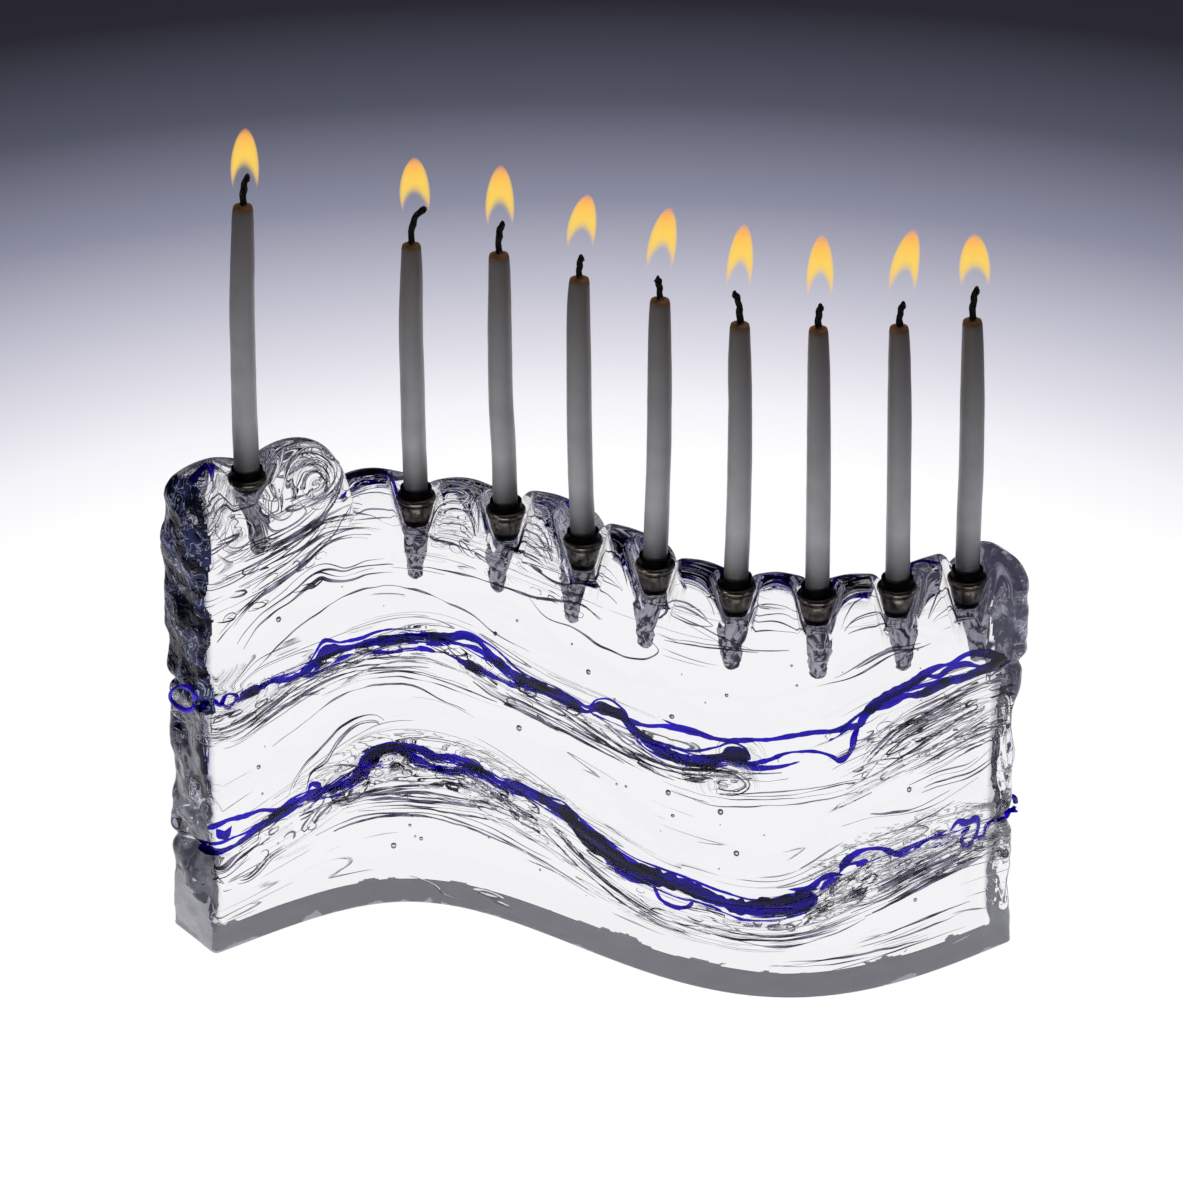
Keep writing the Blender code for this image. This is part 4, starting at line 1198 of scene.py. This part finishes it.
def make_taper(name, wax, seed):
    length = wax_length(name)
    steps, sides = 90, 40
    height = -SEAT_DEPTH + (length + SEAT_DEPTH) * np.linspace(0, 1, steps)
    above = np.clip(height / length, 0, 1)
    from_top = np.maximum(length - height, 0)
    grain = Grain(seed)
    radius = SHAMASH_RADIUS if name == "shamash" else CANDLE_RADIUS
    radius = radius * (1 - 0.03 * above - 0.19 * np.exp(-from_top / (13 * MM)))
    radius = radius * (1 + 0.018 * grain(height * 60, 1.3, seed) + 0.010 * grain(height * 170, 4.2, seed))
    radius = radius * (1 - 0.06 * smooth_step(0.5 * MM, 0, from_top))
    pared, power = (9.8 * MM, 3) if name == "shamash" else (6 * MM, 1)
    radius = radius * (0.55 + 0.45 * np.clip((height + SEAT_DEPTH) / pared, 0, 1) ** power)
    bow = BURNING[name][4] * MM * np.sin(np.pi * above)
    bow = bow + 0.22 * MM * grain(height * 45, 8.8, seed) * smooth_step(0, 15 * MM, height)
    for share, lift in TAPER_TOP:
        radius = np.append(radius, radius[steps - 1] * share)
        height = np.append(height, height[steps - 1] + lift * MM)
        bow = np.append(bow, bow[steps - 1])
    angle = np.linspace(0, 2 * np.pi, sides, endpoint=False)
    oval = 1 + 0.02 * np.cos(2 * angle + seed)
    rings = round_rings(0 * bow, radius, radius, height, angle)
    rings[:, :, :2] *= oval[:, None]
    rings[:, :, 0] += bow[:, None]
    points, faces = close_ends(rings.reshape(-1, 3), ring_faces(len(rings), sides), sides)
    up = np.append(np.clip(points[:-1, 2] / length, 0, 1.05), 1.05)
    candle_piece("taper_", name, points, faces, wax, "white_wax", ["candle_" + name], up=up)


def make_wick(name, cotton, seed):
    rise, reach = wick_course(name)
    t = np.linspace(0, 1, 44)
    height = wax_length(name) - 1.5 * MM + (rise + 1.5 * MM) * (1 - (1 - t) ** 1.6)
    path = np.stack([reach * t ** 2.6, 0 * t, height], axis=-1)
    lumps = 1 + 0.10 * Grain(seed)(t * 9, 2.2, seed)
    radius = 1.12 * MM * lumps * np.sqrt(np.clip((1 - t) / 0.05, 0.2, 1))
    points, faces = tube(path, radius, 18, twist=0.16, ridges=3, ridge_depth=0.16)
    candle_piece("braided_wick_", name, points, faces, cotton, "charred_cotton", ["wick_" + name])


def make_flame(name, fire):
    """Nested shells of glow, hollow above the wick: each side carries a tongue down beside it."""
    tall, half_width, sway, foot, _ = (value * MM for value in BURNING[name])
    reach = wick_course(name)[1]
    sides, steps = 40, 56
    t = np.linspace(0, 1, steps)
    angle = np.linspace(0, 2 * np.pi, sides, endpoint=False)
    widest = 0.38
    outline = np.where(t < widest, 1 - 0.30 * ((widest - t) / widest) ** 2,
                       (1 - (np.maximum(t - widest, 0) / (1 - widest)) ** 1.9) ** 0.625)
    middle = reach * 0.35 * (1 - t) + sway * t ** 1.6
    parts = []
    for share, fullness in ((1.0, 0.30), (0.93, 0.36), (0.82, 0.42), (0.66, 0.42), (0.45, 0.40)):
        radius = np.maximum(half_width * share * outline, 0.03 * MM)
        height = wax_length(name) + foot + (tall - foot) * t * (0.97 + 0.03 * share)
        rings = round_rings(middle, radius, radius * 0.9, height, angle)
        points, faces = close_ends(rings.reshape(-1, 3), ring_faces(steps, sides), sides)
        sideways = np.abs(np.cos(angle)) * share * outline[:, None] ** 0.3
        arch = 0.50 - 0.46 * sideways ** 2.2
        glow = fullness * smooth_step(arch - 0.05, arch + 0.16, t[:, None])
        fade = (1 - 0.9 * smooth_step(0.80, 1.0, t)) * smooth_step(0.0, 0.10, t)
        glow = glow * fade[:, None]
        parts.append((points, faces, np.concatenate([np.repeat(t, sides), [0, 1]]),
                      np.concatenate([glow.ravel(), [0, 0]])))
    points, faces, up, glow = joined(parts)
    candle_piece("flame_", name, points, faces, fire, "white_wax", up=up, glow=glow)


def make_candles():
    nickel, bedding = nickel_finish(), bedding_finish()
    wax, cotton, fire = wax_finish(), wick_finish(), flame_finish()
    for number, name in enumerate(CANDLE_NAMES):
        make_cup(name, nickel)
        make_bedding(name, bedding, 40 + number)
        make_taper(name, wax, 60 + number)
        make_wick(name, cotton, 80 + number)
        make_flame(name, fire)


# The studio

CAMERA_DISTANCE = 2.545
CAMERA_PITCH = 29.0
CAMERA_AIM = Vector((0.0, 0.0562, 0.110))
# Focal length as a multiple of the sensor's width
FOCAL_SHARE = 5.9172


def make_camera():
    data = bpy.data.cameras.new("view")
    data.sensor_width = 36.0
    data.lens = FOCAL_SHARE * data.sensor_width
    data.clip_end = 50.0
    camera = bpy.data.objects.new("view", data)
    pitch = math.radians(CAMERA_PITCH)
    camera.location = CAMERA_AIM + CAMERA_DISTANCE * Vector((0, -math.cos(pitch), math.sin(pitch)))
    camera.rotation_euler = (math.pi / 2 - pitch, 0, 0)
    scene.collection.objects.link(camera)
    scene.camera = camera


def make_floor():
    """A pale floor that glows near the object and falls into shade away from it."""
    bpy.ops.mesh.primitive_circle_add(vertices=96, radius=8.0, fill_type="NGON")
    floor = bpy.context.object
    floor.name = "pale_floor"
    floor.location.z = -0.0002
    table = Finish("pale_floor", Base_Color=rgb(0.02, 0.02, 0.02), Roughness=0.9, Emission_Strength=1.0)
    away = table.node("ShaderNodeVectorMath", {"operation": "LENGTH"}, {0: table.place()}, output=1)
    stops = [(0.0, (1.0, 1.0, 1.0)), (0.37, (1.0, 1.0, 1.0)), (0.42, (0.90, 0.89, 0.94)),
             (0.513, (0.58, 0.57, 0.66)), (0.612, (0.255, 0.26, 0.35)), (0.715, (0.078, 0.083, 0.12)),
             (0.825, (0.017, 0.016, 0.026)), (1.0, (0.012, 0.012, 0.018))]
    table.drive(Emission_Color=table.ramp(away, stops))
    floor.data.materials.append(table.material)


def soft_light(name, place, aim, size, power):
    data = bpy.data.lights.new(name, "AREA")
    data.size = size
    data.energy = power
    light = bpy.data.objects.new(name, data)
    light.location = place
    light.rotation_euler = (Vector(aim) - Vector(place)).to_track_quat("-Z", "Y").to_euler()
    scene.collection.objects.link(light)


def make_studio():
    world = bpy.data.worlds.new("studio")
    world.use_nodes = True
    world.node_tree.nodes["Background"].inputs["Color"].default_value = rgb(0.016, 0.016, 0.024)
    scene.world = world
    soft_light("overhead", (0.2, 0.3, 1.8), (0, 0, 0.1), 0.7, 6.0)
    soft_light("left_fill", (-1.6, -0.9, 0.9), (0, 0, 0.12), 0.5, 2.4)
    scene.view_settings.view_transform = "Standard"
    scene.cycles.max_bounces = 24
    scene.cycles.transmission_bounces = 20
    scene.cycles.transparent_max_bounces = 64
    scene.cycles.glossy_bounces = 8


make_glass()
make_cobalt()
make_folds()
make_seeds()
make_candles()
make_floor()
make_studio()
make_camera()
